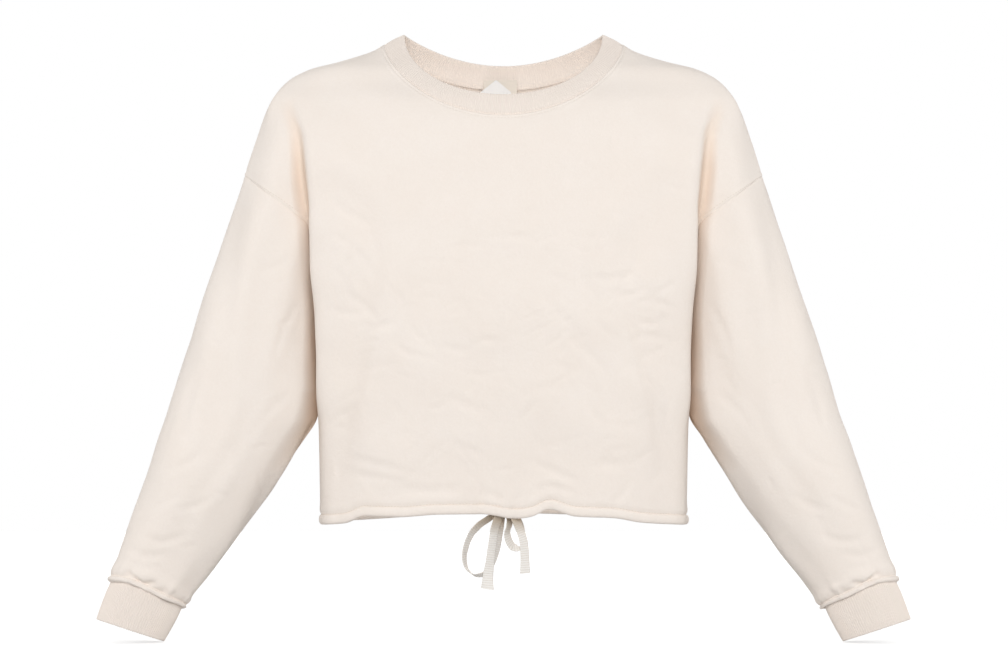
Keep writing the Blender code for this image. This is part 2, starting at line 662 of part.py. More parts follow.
def make_label(name, outline, back, thick):
    """A woven label that hangs straight down from the neck seam."""
    lines = [[(spot.x, back, spot.z), (spot.x, back - thick, spot.z)] for spot in outline]
    return bar(name, np.array(lines), "label")


def main():
    for thing in list(bpy.data.objects):
        bpy.data.objects.remove(thing, do_unlink=True)
    for which in ("front", "back"):
        points, normals = panel(which)
        wall(which + "_panel", points, normals, CLOTH, "cloth")
        make_casing(which)
    sleeve, cuff = sleeve_grid(), cuff_grid()
    for side, word in ((1, "left"), (-1, "right")):
        make_tube("sleeve_" + word, sleeve, CLOTH, "cloth", side)
        make_tube("cuff_" + word, cuff, RIB, "rib", side)
    make_neckband()
    for name, turns in TAPES.items():
        make_tape(name, turns)
    make_knot()
    make_label("size_tab", TAB, LABEL_BACK, TAB_THICK)
    make_label("neck_label", LABEL, LABEL_BACK - TAB_THICK - SEAM_GAP, LABEL_THICK)


main()
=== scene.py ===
from collections import namedtuple
import math

import bpy
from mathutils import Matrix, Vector, kdtree
import numpy as np


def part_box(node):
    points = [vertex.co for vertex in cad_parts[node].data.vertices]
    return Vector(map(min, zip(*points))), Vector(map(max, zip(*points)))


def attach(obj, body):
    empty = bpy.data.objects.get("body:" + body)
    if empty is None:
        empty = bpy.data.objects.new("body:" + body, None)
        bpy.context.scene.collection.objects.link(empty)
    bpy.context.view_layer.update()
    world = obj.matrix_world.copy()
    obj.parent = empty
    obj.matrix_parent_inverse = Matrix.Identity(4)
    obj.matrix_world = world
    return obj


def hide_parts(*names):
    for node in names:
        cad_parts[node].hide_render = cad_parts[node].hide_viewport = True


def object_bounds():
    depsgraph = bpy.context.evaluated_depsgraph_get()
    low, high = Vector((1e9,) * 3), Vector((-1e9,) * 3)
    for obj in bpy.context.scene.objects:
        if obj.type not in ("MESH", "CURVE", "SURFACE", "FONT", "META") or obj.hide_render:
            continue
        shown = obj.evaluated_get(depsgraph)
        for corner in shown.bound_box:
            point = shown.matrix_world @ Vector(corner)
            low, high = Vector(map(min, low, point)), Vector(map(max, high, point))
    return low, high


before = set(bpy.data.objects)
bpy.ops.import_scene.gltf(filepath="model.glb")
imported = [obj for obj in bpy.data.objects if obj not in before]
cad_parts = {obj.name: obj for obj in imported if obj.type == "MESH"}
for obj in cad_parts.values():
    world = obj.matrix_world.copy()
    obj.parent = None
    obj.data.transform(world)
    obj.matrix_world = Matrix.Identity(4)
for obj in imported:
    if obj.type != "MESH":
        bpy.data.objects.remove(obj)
cad_low, cad_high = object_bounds()
bpy.ops.object.select_all(action="DESELECT")

# ---------------------------------------------------------------------------------------
# Camera. It looks level and straight on at the front, from far enough away that the
# sleeves and the body keep their widths.
AWAY = 4.5
VIEW_WIDTH = 1.008                    # metres across the middle of the garment
VIEW_X, VIEW_Z = 0.0005, -0.292       # the middle of the view
bpy.ops.object.camera_add(location=(VIEW_X, -AWAY, VIEW_Z), rotation=(math.radians(90), 0, 0))
camera = bpy.context.object
camera.name = "camera"
camera.data.sensor_width = 36.0
camera.data.lens = camera.data.sensor_width * AWAY / VIEW_WIDTH
bpy.context.scene.camera = camera

# ---------------------------------------------------------------------------------------
# Drawstring. One flat cotton tape runs through the hem and is tied in a small bow behind
# the middle of the front. Two loops and two cut ends hang from the knot. It is a narrow
# ribbed weave, so each run is a thin band with ribs across it.
TAPE_WIDE, TAPE_THICK = 0.011, 0.0014
TAPE_ROUND = 0.024                    # across both its faces and edges
TAPE_RIB = 0.0023                     # from one cross rib to the next
TAPE_SIDES = 16
CUT_SPREAD = 0.014                    # the stretch over which a cut end widens
CRIMP_AT, CRIMP_WIDE = 0.0024, 0.0005  # a pressed line just above the cut
TURN_WEIGHT = 0.001                   # a degree of turn counts as a millimetre of route
# A point on the tape, and the turn of its width from straight across to straight back.
Turn = namedtuple("Turn", "x y z turn")
# How a cut end widens, and how far its cut slants.
Cut = namedtuple("Cut", "flare slant")


class Nodes:
    """A node tree. node() adds a node of any type to it and gives one of its outputs."""

    def __init__(self, tree):
        self.tree = tree

    def node(self, kind, settings=None, inputs=None, output=0):
        made = self.tree.nodes.new(kind)
        for name, value in (settings or {}).items():
            setattr(made, name, value)
        for name, value in (inputs or {}).items():
            self.feed(made.inputs[name], value)
        return Shade(self, made.outputs[output])

    def feed(self, socket, value):
        if isinstance(value, Shade):
            self.tree.links.new(value.output, socket)
        else:
            socket.default_value = value


class Finish(Nodes):
    """A material, and the parts of one that several pieces share."""

    def __init__(self, name, roughness, sheen=0.0):
        self.material = bpy.data.materials.new(name)
        self.material.use_nodes = True
        super().__init__(self.material.node_tree)
        self.shader = self.tree.nodes["Principled BSDF"]
        self.shader.inputs["Roughness"].default_value = roughness
        self.shader.inputs["Specular IOR Level"].default_value = 0.25
        self.shader.inputs["Sheen Weight"].default_value = sheen
        self.shader.inputs["Sheen Roughness"].default_value = 0.6

    def place(self):
        """Where a point is on the object, in metres."""
        return self.node("ShaderNodeTexCoord", output="Object")

    def flat(self, axis):
        """How far along the flat cloth a point is, in metres: axis 0 across it, 1 up it."""
        at = self.node("ShaderNodeUVMap", {"uv_map": "flat_cloth"})
        return self.node("ShaderNodeSeparateXYZ", inputs={0: at}, output=axis)

    def noise(self, size, detail):
        """Soft noise from 0 to 1 whose patches are about this size, in metres."""
        return self.node("ShaderNodeTexNoise", inputs={
            "Vector": self.place(), "Scale": 1 / size, "Detail": detail}, output="Fac")

    def blend(self, part, low, high):
        """Colour low where part is 0 and colour high where it is 1."""
        return self.node("ShaderNodeMix", {"data_type": "RGBA"},
                         {0: part, 6: (*low, 1) if isinstance(low, tuple) else low,
                          7: (*high, 1) if isinstance(high, tuple) else high}, output=2)

    def coloured(self, colour):
        self.feed(self.shader.inputs["Base Color"], colour)

    def raised(self, height, metres):
        """A fine relief: height, from 0 to about 1, stands for so many metres."""
        self.feed(self.shader.inputs["Normal"], self.node(
            "ShaderNodeBump", inputs={"Height": height, "Distance": metres}))


class Shade:
    """A value in a node tree. Python's operators on it add Math nodes."""

    def __init__(self, nodes, output):
        self.nodes, self.output = nodes, output

    def maths(self, operation, *others):
        return self.nodes.node("ShaderNodeMath", {"operation": operation},
                               dict(enumerate((self,) + others)))

    def turned(self, operation, other):
        return self.nodes.node("ShaderNodeMath", {"operation": operation},
                               {0: other, 1: self})

    def __add__(self, other):
        return self.maths("ADD", other)

    def __sub__(self, other):
        return self.maths("SUBTRACT", other)

    def __mul__(self, other):
        return self.maths("MULTIPLY", other)

    def __rsub__(self, other):
        return self.turned("SUBTRACT", other)

    __radd__, __rmul__ = __add__, __mul__

    def wave(self, length):
        """A smooth wave from 0 to 1 that repeats each so many metres."""
        return (self * (2 * math.pi / length)).maths("SINE") * 0.5 + 0.5

    def clipped(self, low, high):
        """0 below low, 1 above high, and even between them."""
        return self.nodes.node("ShaderNodeMapRange", inputs={
            "Value": self, "From Min": low, "From Max": high})


def curve_through(points, steps):
    """Points along a smooth curve; the first and last given points only steer its ends."""
    points = np.asarray(points, float)
    gap = np.maximum(np.linalg.norm(np.diff(points, axis=-2), axis=-1, keepdims=True), 1e-9)
    run = np.diff(points, axis=-2) / gap
    before, after = gap[..., :-1, :], gap[..., 1:, :]
    tangent = (run[..., :-1, :] * after + run[..., 1:, :] * before) / (before + after)
    out = []
    for k in range(points.shape[-2] - 3):
        start, end = points[..., k + 1, :], points[..., k + 2, :]
        length = gap[..., k + 1, :]
        for u in np.arange(steps) / steps:
            out.append((1 + 2 * u) * (1 - u) ** 2 * start
                       + u * (1 - u) ** 2 * length * tangent[..., k, :]
                       + u * u * (3 - 2 * u) * end
                       - u * u * (1 - u) * length * tangent[..., k + 1, :])
    out.append(points[..., -2, :])
    return np.stack(out, axis=-2)


def smooth_route(points, steps):
    """A smooth curve that passes through all the points, ends included."""
    points = np.asarray(points, float)
    return curve_through(np.concatenate([[2 * points[0] - points[1]], points,
                                         [2 * points[-1] - points[-2]]]), steps)


def lengths_along(path):
    """How far along a line each of its points is."""
    return np.concatenate([[0], np.cumsum(np.linalg.norm(np.diff(path, axis=0), axis=1))])


def unit(vectors):
    return vectors / np.linalg.norm(vectors, axis=-1, keepdims=True)


def weave(name, grid, flat, finish, ring=False, closed=False, caps=False, hollow=None):
    """A mesh of rows and columns of points, in metres.

    Seen from outside, rows go up and columns go to the right. flat is each point's place on
    the flat cloth, with one more column on a ring and one more row where rows close too.
    hollow, 0 to 1, is how deep in a fold each point lies; the jersey paints shade by it.
    """
    rows, columns = grid.shape[:2]
    r, c = np.meshgrid(np.arange(rows if closed else rows - 1),
                       np.arange(columns if ring else columns - 1), indexing="ij")
    r, c = r.ravel(), c.ravel()
    up, right = (r + 1) % rows, (c + 1) % columns
    faces = np.stack([r * columns + c, r * columns + right,
                      up * columns + right, up * columns + c], -1).tolist()
    corners = np.stack([flat[r, c], flat[r, c + 1], flat[r + 1, c + 1], flat[r + 1, c]], 1)
    corners = corners.reshape(-1, 2)
    if caps:
        faces.append(list(range(columns))[::-1])
        faces.append(list(range((rows - 1) * columns, rows * columns)))
        corners = np.concatenate([corners, flat[0, columns - 1::-1], flat[-1, :columns]])
    mesh = bpy.data.meshes.new(name)
    mesh.from_pydata(grid.reshape(-1, 3).tolist(), [], faces)
    layer = mesh.uv_layers.new(name="flat_cloth")
    layer.data.foreach_set("uv", corners.astype(np.float32).ravel())
    if hollow is not None:
        depth = mesh.attributes.new("hollow", "FLOAT", "POINT")
        depth.data.foreach_set("value", hollow.astype(np.float32).ravel())
    mesh.materials.append(finish.material)
    thing = bpy.data.objects.new(name, mesh)
    bpy.context.collection.objects.link(thing)
    return thing


def smooth(thing, degrees=60):
    bpy.ops.object.select_all(action="DESELECT")
    thing.select_set(True)
    bpy.context.view_layer.objects.active = thing
    bpy.ops.object.shade_smooth_by_angle(angle=math.radians(degrees))
    thing.select_set(False)
    return thing


def fits(thing, node):
    """A finished piece takes the place of its plain solid."""
    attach(thing, "root")
    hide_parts(node)


tape_finish = Finish("cotton_tape", 0.85, sheen=0.1)
TAPE_GROOVE_SHADE, TAPE_RIDGE_LIGHT = (0.81, 0.775, 0.725), (0.92, 0.90, 0.875)
TAPE_MOTTLE, TAPE_PAINTED_SHADE = (0.80, 0.75, 0.69), (0.48, 0.39, 0.29)
# bands at the ribs' pitch: painted shade in the grooves and painted light on the ridges
tape_tone = tape_finish.blend(tape_finish.flat(1).wave(TAPE_RIB), TAPE_GROOVE_SHADE, TAPE_RIDGE_LIGHT)
# just under the hem, knot included, it turns brown: painted shade where the hem and the knot shade
# it
height = tape_finish.node("ShaderNodeSeparateXYZ", inputs={0: tape_finish.place()}, output=2)
tape_tone = tape_finish.blend(height.clipped(-0.488, -0.472), tape_tone, TAPE_PAINTED_SHADE)
tape_finish.coloured(tape_finish.blend(tape_finish.noise(0.004, 3) * 0.3, tape_tone,
                                       TAPE_MOTTLE))
tape_finish.raised(tape_finish.flat(0).wave(0.0007) * 0.5 + tape_finish.noise(0.0006, 1),
                   0.00008)


def lay_tape(name, turns, cut=None, lean=0.0):
    """One run of the tape. Its first point is inside the knot, and so is a loop's last;
    lean is how far its back edge rides up where the tape runs level."""
    turns = np.array(turns)
    turns[:, 3] *= TURN_WEIGHT
    route = smooth_route(turns, 16)
    length = lengths_along(route[:, :3])
    at = np.linspace(0, length[-1], int(length[-1] / (TAPE_RIB / 6)) + 1)
    route = np.stack([np.interp(at, length, route[:, k]) for k in range(4)], -1)
    path, turn = route[:, :3], np.radians(route[:, 3] / TURN_WEIGHT)
    along = unit(np.gradient(path, axis=0))
    across = np.stack([np.cos(turn), np.sin(turn), np.full_like(turn, lean)], -1)
    across = unit(across - (across * along).sum(axis=1, keepdims=True) * along)
    face = np.cross(along, across)
    angle = (np.arange(TAPE_SIDES) + 0.5) * 2 * math.pi / TAPE_SIDES
    side, front = np.cos(angle), np.sin(angle)
    side = np.sign(side) * np.abs(side) ** 0.45
    front = np.sign(front) * np.abs(front) ** 0.6
    rib = 0.5 - 0.5 * np.cos(2 * math.pi * at / TAPE_RIB)
    wide = TAPE_WIDE / 2 * (0.985 + 0.015 * rib)
    thick = TAPE_THICK / 2 * (0.72 + 0.28 * rib)
    shift = np.zeros((len(at), TAPE_SIDES))
    if cut:
        to_cut = at[-1] - at
        near_end = np.clip(1 - to_cut / CUT_SPREAD, 0, 1) ** 2
        wide = wide * (1 + cut.flare * near_end)
        thick = thick * (1 - 0.45 * np.exp(-((to_cut - CRIMP_AT) / CRIMP_WIDE) ** 2))
        shift = near_end[:, None] * side * cut.slant
    grid = (path[:, None] + across[:, None] * (side * wide[:, None])[..., None]
            + face[:, None] * (front * thick[:, None])[..., None]
            + along[:, None] * shift[..., None])
    around = np.arange(TAPE_SIDES + 1) * (TAPE_ROUND / TAPE_SIDES)
    flat = np.stack(np.broadcast_arrays(around[None], at[:, None]), -1)
    tape = weave(name + "_tape", grid[:, ::-1], flat, tape_finish, ring=True, caps=True)
    smooth(tape, 70)
    fits(tape, name)


lay_tape("drawstring_loop_right", [
    Turn(-0.0079, -0.0800, -0.4600, 58), Turn(-0.0080, -0.0800, -0.4665, 58),
    Turn(-0.0140, -0.0805, -0.4710, 56), Turn(-0.0235, -0.0810, -0.4775, 56),
    Turn(-0.0322, -0.0810, -0.4875, 60), Turn(-0.0370, -0.0805, -0.4995, 64),
    Turn(-0.0385, -0.0800, -0.5110, 66), Turn(-0.0355, -0.0790, -0.5210, 66),
    Turn(-0.0280, -0.0775, -0.5268, 64), Turn(-0.0190, -0.0760, -0.5258, 64),
    Turn(-0.0120, -0.0755, -0.5170, 64), Turn(-0.0070, -0.0760, -0.5040, 62),
    Turn(-0.0038, -0.0770, -0.4880, 62), Turn(-0.0020, -0.0785, -0.4750, 62),
    Turn(-0.0010, -0.0795, -0.4665, 62), Turn(-0.0008, -0.0796, -0.4600, 62)], lean=-0.32)
lay_tape("drawstring_tail_right", [
    Turn(-0.0040, -0.0870, -0.4600, 26), Turn(-0.0040, -0.0870, -0.4665, 30),
    Turn(-0.0055, -0.0870, -0.4715, 38), Turn(-0.0088, -0.0865, -0.4820, 42),
    Turn(-0.0110, -0.0860, -0.4960, 42), Turn(-0.0130, -0.0860, -0.5120, 38),
    Turn(-0.0150, -0.0860, -0.5260, 24), Turn(-0.0159, -0.0860, -0.5405, 6)],
    Cut(flare=0.22, slant=0.0007))
lay_tape("drawstring_loop_left", [
    Turn(0.0049, -0.0800, -0.4600, 62), Turn(0.0050, -0.0800, -0.4665, 62),
    Turn(0.0063, -0.0805, -0.4715, 58), Turn(0.0056, -0.0810, -0.4780, 54),
    Turn(0.0036, -0.0810, -0.4855, 54), Turn(0.0052, -0.0800, -0.4930, 56),
    Turn(0.0102, -0.0785, -0.4995, 60), Turn(0.0160, -0.0770, -0.4995, 62),
    Turn(0.0185, -0.0765, -0.4915, 62), Turn(0.0175, -0.0775, -0.4810, 62),
    Turn(0.0140, -0.0790, -0.4725, 62), Turn(0.0115, -0.0800, -0.4665, 62),
    Turn(0.0114, -0.0800, -0.4600, 62)], lean=0.55)
lay_tape("drawstring_tail_left", [
    Turn(0.0105, -0.0870, -0.4592, 26), Turn(0.0105, -0.0870, -0.4665, 30),
    Turn(0.0120, -0.0870, -0.4715, 38), Turn(0.0158, -0.0865, -0.4810, 42),
    Turn(0.0196, -0.0860, -0.4930, 42), Turn(0.0209, -0.0860, -0.5080, 40),
    Turn(0.0211, -0.0860, -0.5250, 32)],
    Cut(flare=0.08, slant=-0.0002))

# The knot: the tape wrapped once round its own loops and pulled tight.
KNOT_LOW, KNOT_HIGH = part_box("drawstring_knot")
knot_middle, knot_half = (KNOT_LOW + KNOT_HIGH) / 2, (KNOT_HIGH - KNOT_LOW) / 2
bpy.ops.mesh.primitive_uv_sphere_add(segments=64, ring_count=40, radius=1.0)
knot = bpy.context.object
knot.name = knot.data.name = "drawstring_knot_wrap"
for vertex in knot.data.vertices:
    x, y, z = vertex.co
    wrap = math.exp(-((x + 0.25 * z) / 0.42) ** 4)            # the band over the middle
    groove = math.cos(9 * z + 5 * x) * (1 - wrap)             # the folded tape beside it
    size = 0.86 + 0.14 * wrap + 0.05 * groove
    size += 0.012 * wrap * math.cos(60 * math.atan2(z, y))
    vertex.co = (knot_middle.x + x * size * knot_half.x * (1.0 - 0.1 * wrap),
                 knot_middle.y + y * size * knot_half.y,
                 knot_middle.z + z * size * knot_half.z * (0.9 + 0.1 * wrap))
knot.data.uv_layers[0].name = "flat_cloth"
knot.data.materials.append(tape_finish.material)
smooth(knot)
fits(knot, "drawstring_knot")

# ---------------------------------------------------------------------------------------
# Front panel. Brushed loopback sweatshirt cloth, cut whole from hem to shoulder and laid
# over a general figure: nearly flat across the chest, with a soft fold down each side
# where it turns in to the armpit. Sizes are in millimetres, as it was cut.
MM = 0.001
CLOTH = 1.6
RIDGE_Y = 4.0                         # the shoulder and side seams run along this plane
NECK_HALF, NECK_FRONT_DROP, NECK_BACK_DROP = 118.7, 73.5, 40.0
NECK_POINT = -0.35
TIP_X, TIP = 259.0, -132.0            # the armhole seam crosses the shoulder line here
UNDERARM = -348.0
SEAM_JOINS_FOLD = -177.0
ARMHOLE_SLOPE = 62.0 / 45.0
SIDE_X = 184.0
HEM_LEVEL = -465.0
NECK_COLUMNS, SHOULDER_COLUMNS = 42, 46     # in each half of a panel
SIDE_ROWS, ARMHOLE_ROWS = 46, 128
HEM_SPLIT, HEM_CROWD = 0.46, 0.8
SEAM_BEND = 40                        # the more, the softer the armhole seam's turn
BOW, NO_BOW = 8, 600                  # the drawstring's bow gathers the hem most here
NECK_SEWN, ARMHOLE_SEWN = 3.6, 5.0    # topstitching, so far from those seams


# One row for each level of the body, from the centre out: how far forward the centre is,
# the soft fold, the valley behind it, and the front and the outer line of the upper arm.
Section = namedtuple("Section", "height chest fold_x fold_y valley_x valley_y "
                                "arm_x arm_y outer_x back")
FOLD_AT, VALLEY_AT, ARM_AT = 0.878, 0.915, 0.955


def plain(height, chest, outer_x, back):
    """A level above the fold: one smooth oval from the centre to the shoulder line."""
    def oval(part):
        return RIDGE_Y + (chest - RIDGE_Y) * math.sqrt(1 - part * part)
    return Section(height, chest, FOLD_AT * outer_x, oval(FOLD_AT), VALLEY_AT * outer_x,
                   oval(VALLEY_AT), ARM_AT * outer_x, oval(ARM_AT), outer_x, back)


BODY = [
    Section(-484, -92, 178, -34, 182.5, 4, 184, 20, 184, 0.88),
    Section(-426, -97, 179, -37, 183, 4, 184, 20, 184, 0.88),
    Section(-386, -100, 180, -40, 183, 4, 184, 20, 184, 0.88),
    Section(-348, -102, 183.5, -42, 181, 4, 254, -50, 330, 0.88),
    Section(-320, -103, 183.5, -44, 182.5, -3, 248, -50, 321, 0.88),
    Section(-270, -104, 185.5, -48, 185, -11, 239, -49, 305, 0.88),
    Section(-220, -101, 190, -52, 190, -21, 233, -47, 288, 0.90),
    Section(-177, -96, 190, -56, 194, -33, 231, -44, 273.5, 0.93),
    Section(-132, -88, 192.5, -57, 199.5, -46, 231, -38, 259, 0.96),
    Section(-96, -80, 197, -48, 202.5, -42, 226, -32, 247.5, 1.00),
    plain(-60, -65, 233.5, 1.08),
    plain(-37.5, -47, 216, 1.14),
    plain(-25.5, -40, 194, 1.16),
    plain(-17, -33, 161, 1.18),
    plain(-8, -24, 134, 1.20),
    plain(0, -15, NECK_HALF, 1.20),
]

# Bottom edge of the panel, where its turned casing starts: where, and how high.
Lift = namedtuple("Lift", "across height")
FRONT_HEM = [Lift(-SIDE_X, -470.5), Lift(-157, -468), Lift(-137, -460.5), Lift(-105, -461),
             Lift(-62, -458), Lift(-20, -457.5), Lift(12, -462), Lift(27, -460),
             Lift(45, -453), Lift(71, -460), Lift(109, -462), Lift(137, -467),
             Lift(SIDE_X, -470.5)]
BACK_HEM = [Lift(-SIDE_X, -470.5), Lift(-120, -468), Lift(-60, -464.5), Lift(0, -463.5),
            Lift(60, -464.5), Lift(120, -467), Lift(SIDE_X, -470.5)]


def through(knots, values, at):
    """Smooth curve through a table's values that never overshoots them."""
    knots, values = np.asarray(knots, float), np.asarray(values, float)
    step = np.diff(knots)
    slope = np.diff(values) / step
    tangent = np.empty(len(values))
    tangent[0], tangent[-1] = slope[0], slope[-1]
    both = slope[:-1] * slope[1:]
    weight_a, weight_b = 2 * step[1:] + step[:-1], step[1:] + 2 * step[:-1]
    safe = np.where(both > 0, slope[:-1] * weight_b + slope[1:] * weight_a, 1.0)
    tangent[1:-1] = np.where(both > 0, (weight_a + weight_b) * both / safe, 0.0)
    at = np.clip(np.asarray(at, float), knots[0], knots[-1])
    i = np.clip(np.searchsorted(knots, at) - 1, 0, len(step) - 1)
    u = (at - knots[i]) / step[i]
    return ((1 + 2 * u) * (1 - u) ** 2 * values[i] + u * (1 - u) ** 2 * step[i] * tangent[i]
            + u * u * (3 - 2 * u) * values[i + 1]
            - u * u * (1 - u) * step[i] * tangent[i + 1])


def column(table, name, at):
    """One column of a table of rows, read smoothly at these heights."""
    return through([row.height for row in table], [getattr(row, name) for row in table], at)


class Half:
    """One half of the body's front or back as level sections, measured along the cloth."""
    LEVELS = np.linspace(BODY[0].height, BODY[-1].height, 485)
    CHEST_STATIONS = (0.35, 0.65, 0.86)
    CHEST_POWER = 2.6

    def __init__(self, back):
        h = self.LEVELS
        get = {name: column(BODY, name, h) for name in Section._fields[1:]}
        scale = get["back"] if back else np.ones_like(h)
        side = -1.0 if back else 1.0

        def depth(y):
            return RIDGE_Y + side * scale * (y - RIDGE_Y)
        chest, fold_y = get["chest"], get["fold_y"]
        stations = [(np.zeros_like(h), depth(chest))]
        for part in self.CHEST_STATIONS:
            y = chest + (fold_y - chest) * part ** self.CHEST_POWER
            stations.append((part * get["fold_x"], depth(y)))
        stations.append((get["fold_x"], depth(fold_y)))
        stations.append((get["valley_x"], depth(get["valley_y"])))
        arm = np.stack([get["arm_x"], depth(get["arm_y"])], -1)
        outer = np.stack([get["outer_x"], np.full_like(h, RIDGE_Y)], -1)
        body = np.stack([np.stack(p, -1) for p in stations], axis=1)
        fold, valley = body[:, -2], body[:, -1]
        open_out = np.clip((h - SEAM_JOINS_FOLD) / (TIP - SEAM_JOINS_FOLD), 0, 1)[:, None]
        inward = valley + (valley - fold) * [0.2, 1.0]
        body = np.concatenate([body[:, 1:2] * [-1, 1], body,
                               (inward * (1 - open_out) + arm * open_out)[:, None]], axis=1)
        full = np.clip(-h / 60, 0, 1)[:, None]       # the upper arm is rounder than the shoulder
        turn = arm * [0.42, 0.3] + outer * [0.58, 0.7] + full * [3.0, -side * 6.0]
        before = valley + (valley - arm) * [0.3, 0.3]
        before = before * (1 - open_out) + fold * open_out
        over = np.stack([before, valley, arm, turn, outer,
                         turn * [1, -1] + [0, 2 * RIDGE_Y]], axis=1)
        torso, sleeve = curve_through(body, 14), curve_through(over, 14)
        self.path = np.concatenate([torso, sleeve[:, 1:]], axis=1)
        gap = np.linalg.norm(np.diff(self.path, axis=1), axis=2)
        self.along = np.concatenate([np.zeros((len(h), 1)), np.cumsum(gap, axis=1)], axis=1)
        self.valley_index = torso.shape[1] - 1
        # The same sections at even distances, one millimetre apart.
        self.even = np.arange(math.ceil(self.along.max()) + 1, dtype=float)
        self.spots = np.stack([[np.interp(self.even, a, p[:, k]) for k in (0, 1)]
                               for a, p in zip(self.along, self.path)]).transpose(0, 2, 1)

    def to_fold(self, height):
        return np.interp(height, self.LEVELS, self.along[:, self.valley_index - 14])

    def to_valley(self, height):
        return np.interp(height, self.LEVELS, self.along[:, self.valley_index])

    def to_outer(self, height):
        return np.interp(height, self.LEVELS, self.along[:, -1])

    def reach(self, height, x, start=0):
        """Distance along the section at this height, from its centre, to where it is x out."""
        k = int(np.clip(np.searchsorted(self.LEVELS, height), 1, len(self.LEVELS) - 1))
        mix = (height - self.LEVELS[k - 1]) / (self.LEVELS[k] - self.LEVELS[k - 1])
        low, high = (np.interp(x, self.path[i, start:, 0], self.along[i, start:])
                     for i in (k - 1, k))
        return low + (high - low) * mix

    def point(self, distance, height):
        """3-D points at distances along the sections at these heights."""
        distance, height = np.broadcast_arrays(np.asarray(distance, float),
                                               np.asarray(height, float))
        level = np.clip((height - self.LEVELS[0]) / (self.LEVELS[1] - self.LEVELS[0]), 0,
                        len(self.LEVELS) - 1.000001)
        step = np.clip(distance, 0, len(self.even) - 1.000001)
        k, n = level.astype(int), step.astype(int)
        up, on = (level - k)[..., None], (step - n)[..., None]
        flat = ((self.spots[k, n] * (1 - on) + self.spots[k, n + 1] * on) * (1 - up)
                + (self.spots[k + 1, n] * (1 - on) + self.spots[k + 1, n + 1] * on) * up)
        return np.concatenate([flat, height[..., None]], -1)


HALVES = {"front": Half(back=False), "back": Half(back=True)}


def crowded(count, start, end, least=0.3):
    """Fractions from 0 to 1 in so many steps, which grow smaller towards both ends."""
    k = np.arange(count)
    size = np.clip(np.minimum((k + 1) / start, (count - k) / end), least, 1)
    return np.concatenate([[0], np.cumsum(size) / size.sum()])


def evenly(line, count, solid=None):
    """The same line with so many even steps, by its own length or that of another."""
    length = lengths_along(line if solid is None else solid)
    even = np.linspace(0, length[-1], count + 1)
    return np.stack([np.interp(even, length, part) for part in line.T], -1)


def neck_line(which, grow=0.0, count=NECK_COLUMNS):
    """The neckband seam, from the centre to the shoulder line, on the flat half panel."""
    drop, power = ((NECK_FRONT_DROP, 1.3) if which == "front" else (NECK_BACK_DROP, 1.6))
    half = HALVES[which]
    angle = np.linspace(math.pi / 2, 0, 500)
    height = np.minimum(-(drop + grow) * np.sin(angle) ** power, NECK_POINT)
    across = [half.reach(z, (NECK_HALF + grow) * math.cos(a)) for z, a in zip(height, angle)]
    across[-1] = float(half.to_outer(height[-1])) - grow
    line = np.stack([across, height], -1)
    return evenly(line, count, half.point(line[:, 0], line[:, 1]))


def armhole_line(which, share):
    """The armhole seam at shares of its length, from the underarm to the shoulder line."""
    half = HALVES[which]
    heights = np.concatenate([np.linspace(UNDERARM, SEAM_JOINS_FOLD, 60),
                              np.linspace(SEAM_JOINS_FOLD, TIP, 60)[1:]])
    reach = [float(half.to_valley(z)) if z <= SEAM_JOINS_FOLD else
             float(half.reach(z, TIP_X - (TIP - z) * ARMHOLE_SLOPE, half.valley_index))
             for z in heights]
    reach[-1] = float(half.to_outer(TIP))
    line = evenly(np.stack([reach, heights], -1), 240, half.point(reach, heights))
    for _ in range(SEAM_BEND):
        line[1:-1] = (line[:-2] + line[2:]) / 2
    length = lengths_along(half.point(line[:, 0], line[:, 1]))
    return np.stack([np.interp(share * length[-1], length, part) for part in line.T], -1)


def hem_height(table, x):
    """The height of a panel's bottom edge, so far across."""
    return through([row.across for row in table], [row.height for row in table], x)


def panel_flat(which, sign):
    """Half a panel on its flat cloth: rows from the hem up, columns outwards."""
    half = HALVES[which]
    neck = neck_line(which)
    run = 1 - crowded(SHOULDER_COLUMNS, 7, 1)[::-1]
    line_z = np.concatenate([np.linspace(NECK_POINT, -40, 30), np.linspace(-42, TIP, 40)])
    length = lengths_along(half.point(half.to_outer(line_z), line_z))
    shoulder_z = np.interp(run * length[-1], length, line_z)
    top = np.concatenate([neck, np.stack([half.to_outer(shoulder_z), shoulder_z], -1)[1:]])
    armhole = armhole_line(which, crowded(ARMHOLE_ROWS, 1, 12))
    hem = FRONT_HEM if which == "front" else BACK_HEM
    side_z = np.linspace(float(hem_height(hem, sign * SIDE_X)), UNDERARM, SIDE_ROWS + 1)
    right = np.concatenate([np.stack([half.to_valley(side_z), side_z], -1)[:-1], armhole])
    right[-1] = top[-1]
    s = np.concatenate([np.linspace(0, HEM_SPLIT, NECK_COLUMNS + 1)[:-1],
                        HEM_SPLIT + (1 - HEM_SPLIT) * run ** HEM_CROWD])
    bottom_x = right[0, 0] * s
    x = half.point(bottom_x, np.full(len(s), HEM_LEVEL))[:, 0]
    bottom = np.stack([bottom_x, hem_height(hem, sign * x)], -1)
    bottom[-1] = right[0]
    t = lengths_along(right)
    t /= t[-1]
    T = t[:, None]
    straight = (1 - T) * right[0] + T * right[-1]
    # the side's lean fades away inwards, so that the columns under the neck stay upright
    fade = np.stack([np.clip((s - HEM_SPLIT) / (1 - HEM_SPLIT), 0, 1), s], -1)
    return ((1 - T[..., None]) * bottom + T[..., None] * top
            + fade * (right - straight)[:, None])


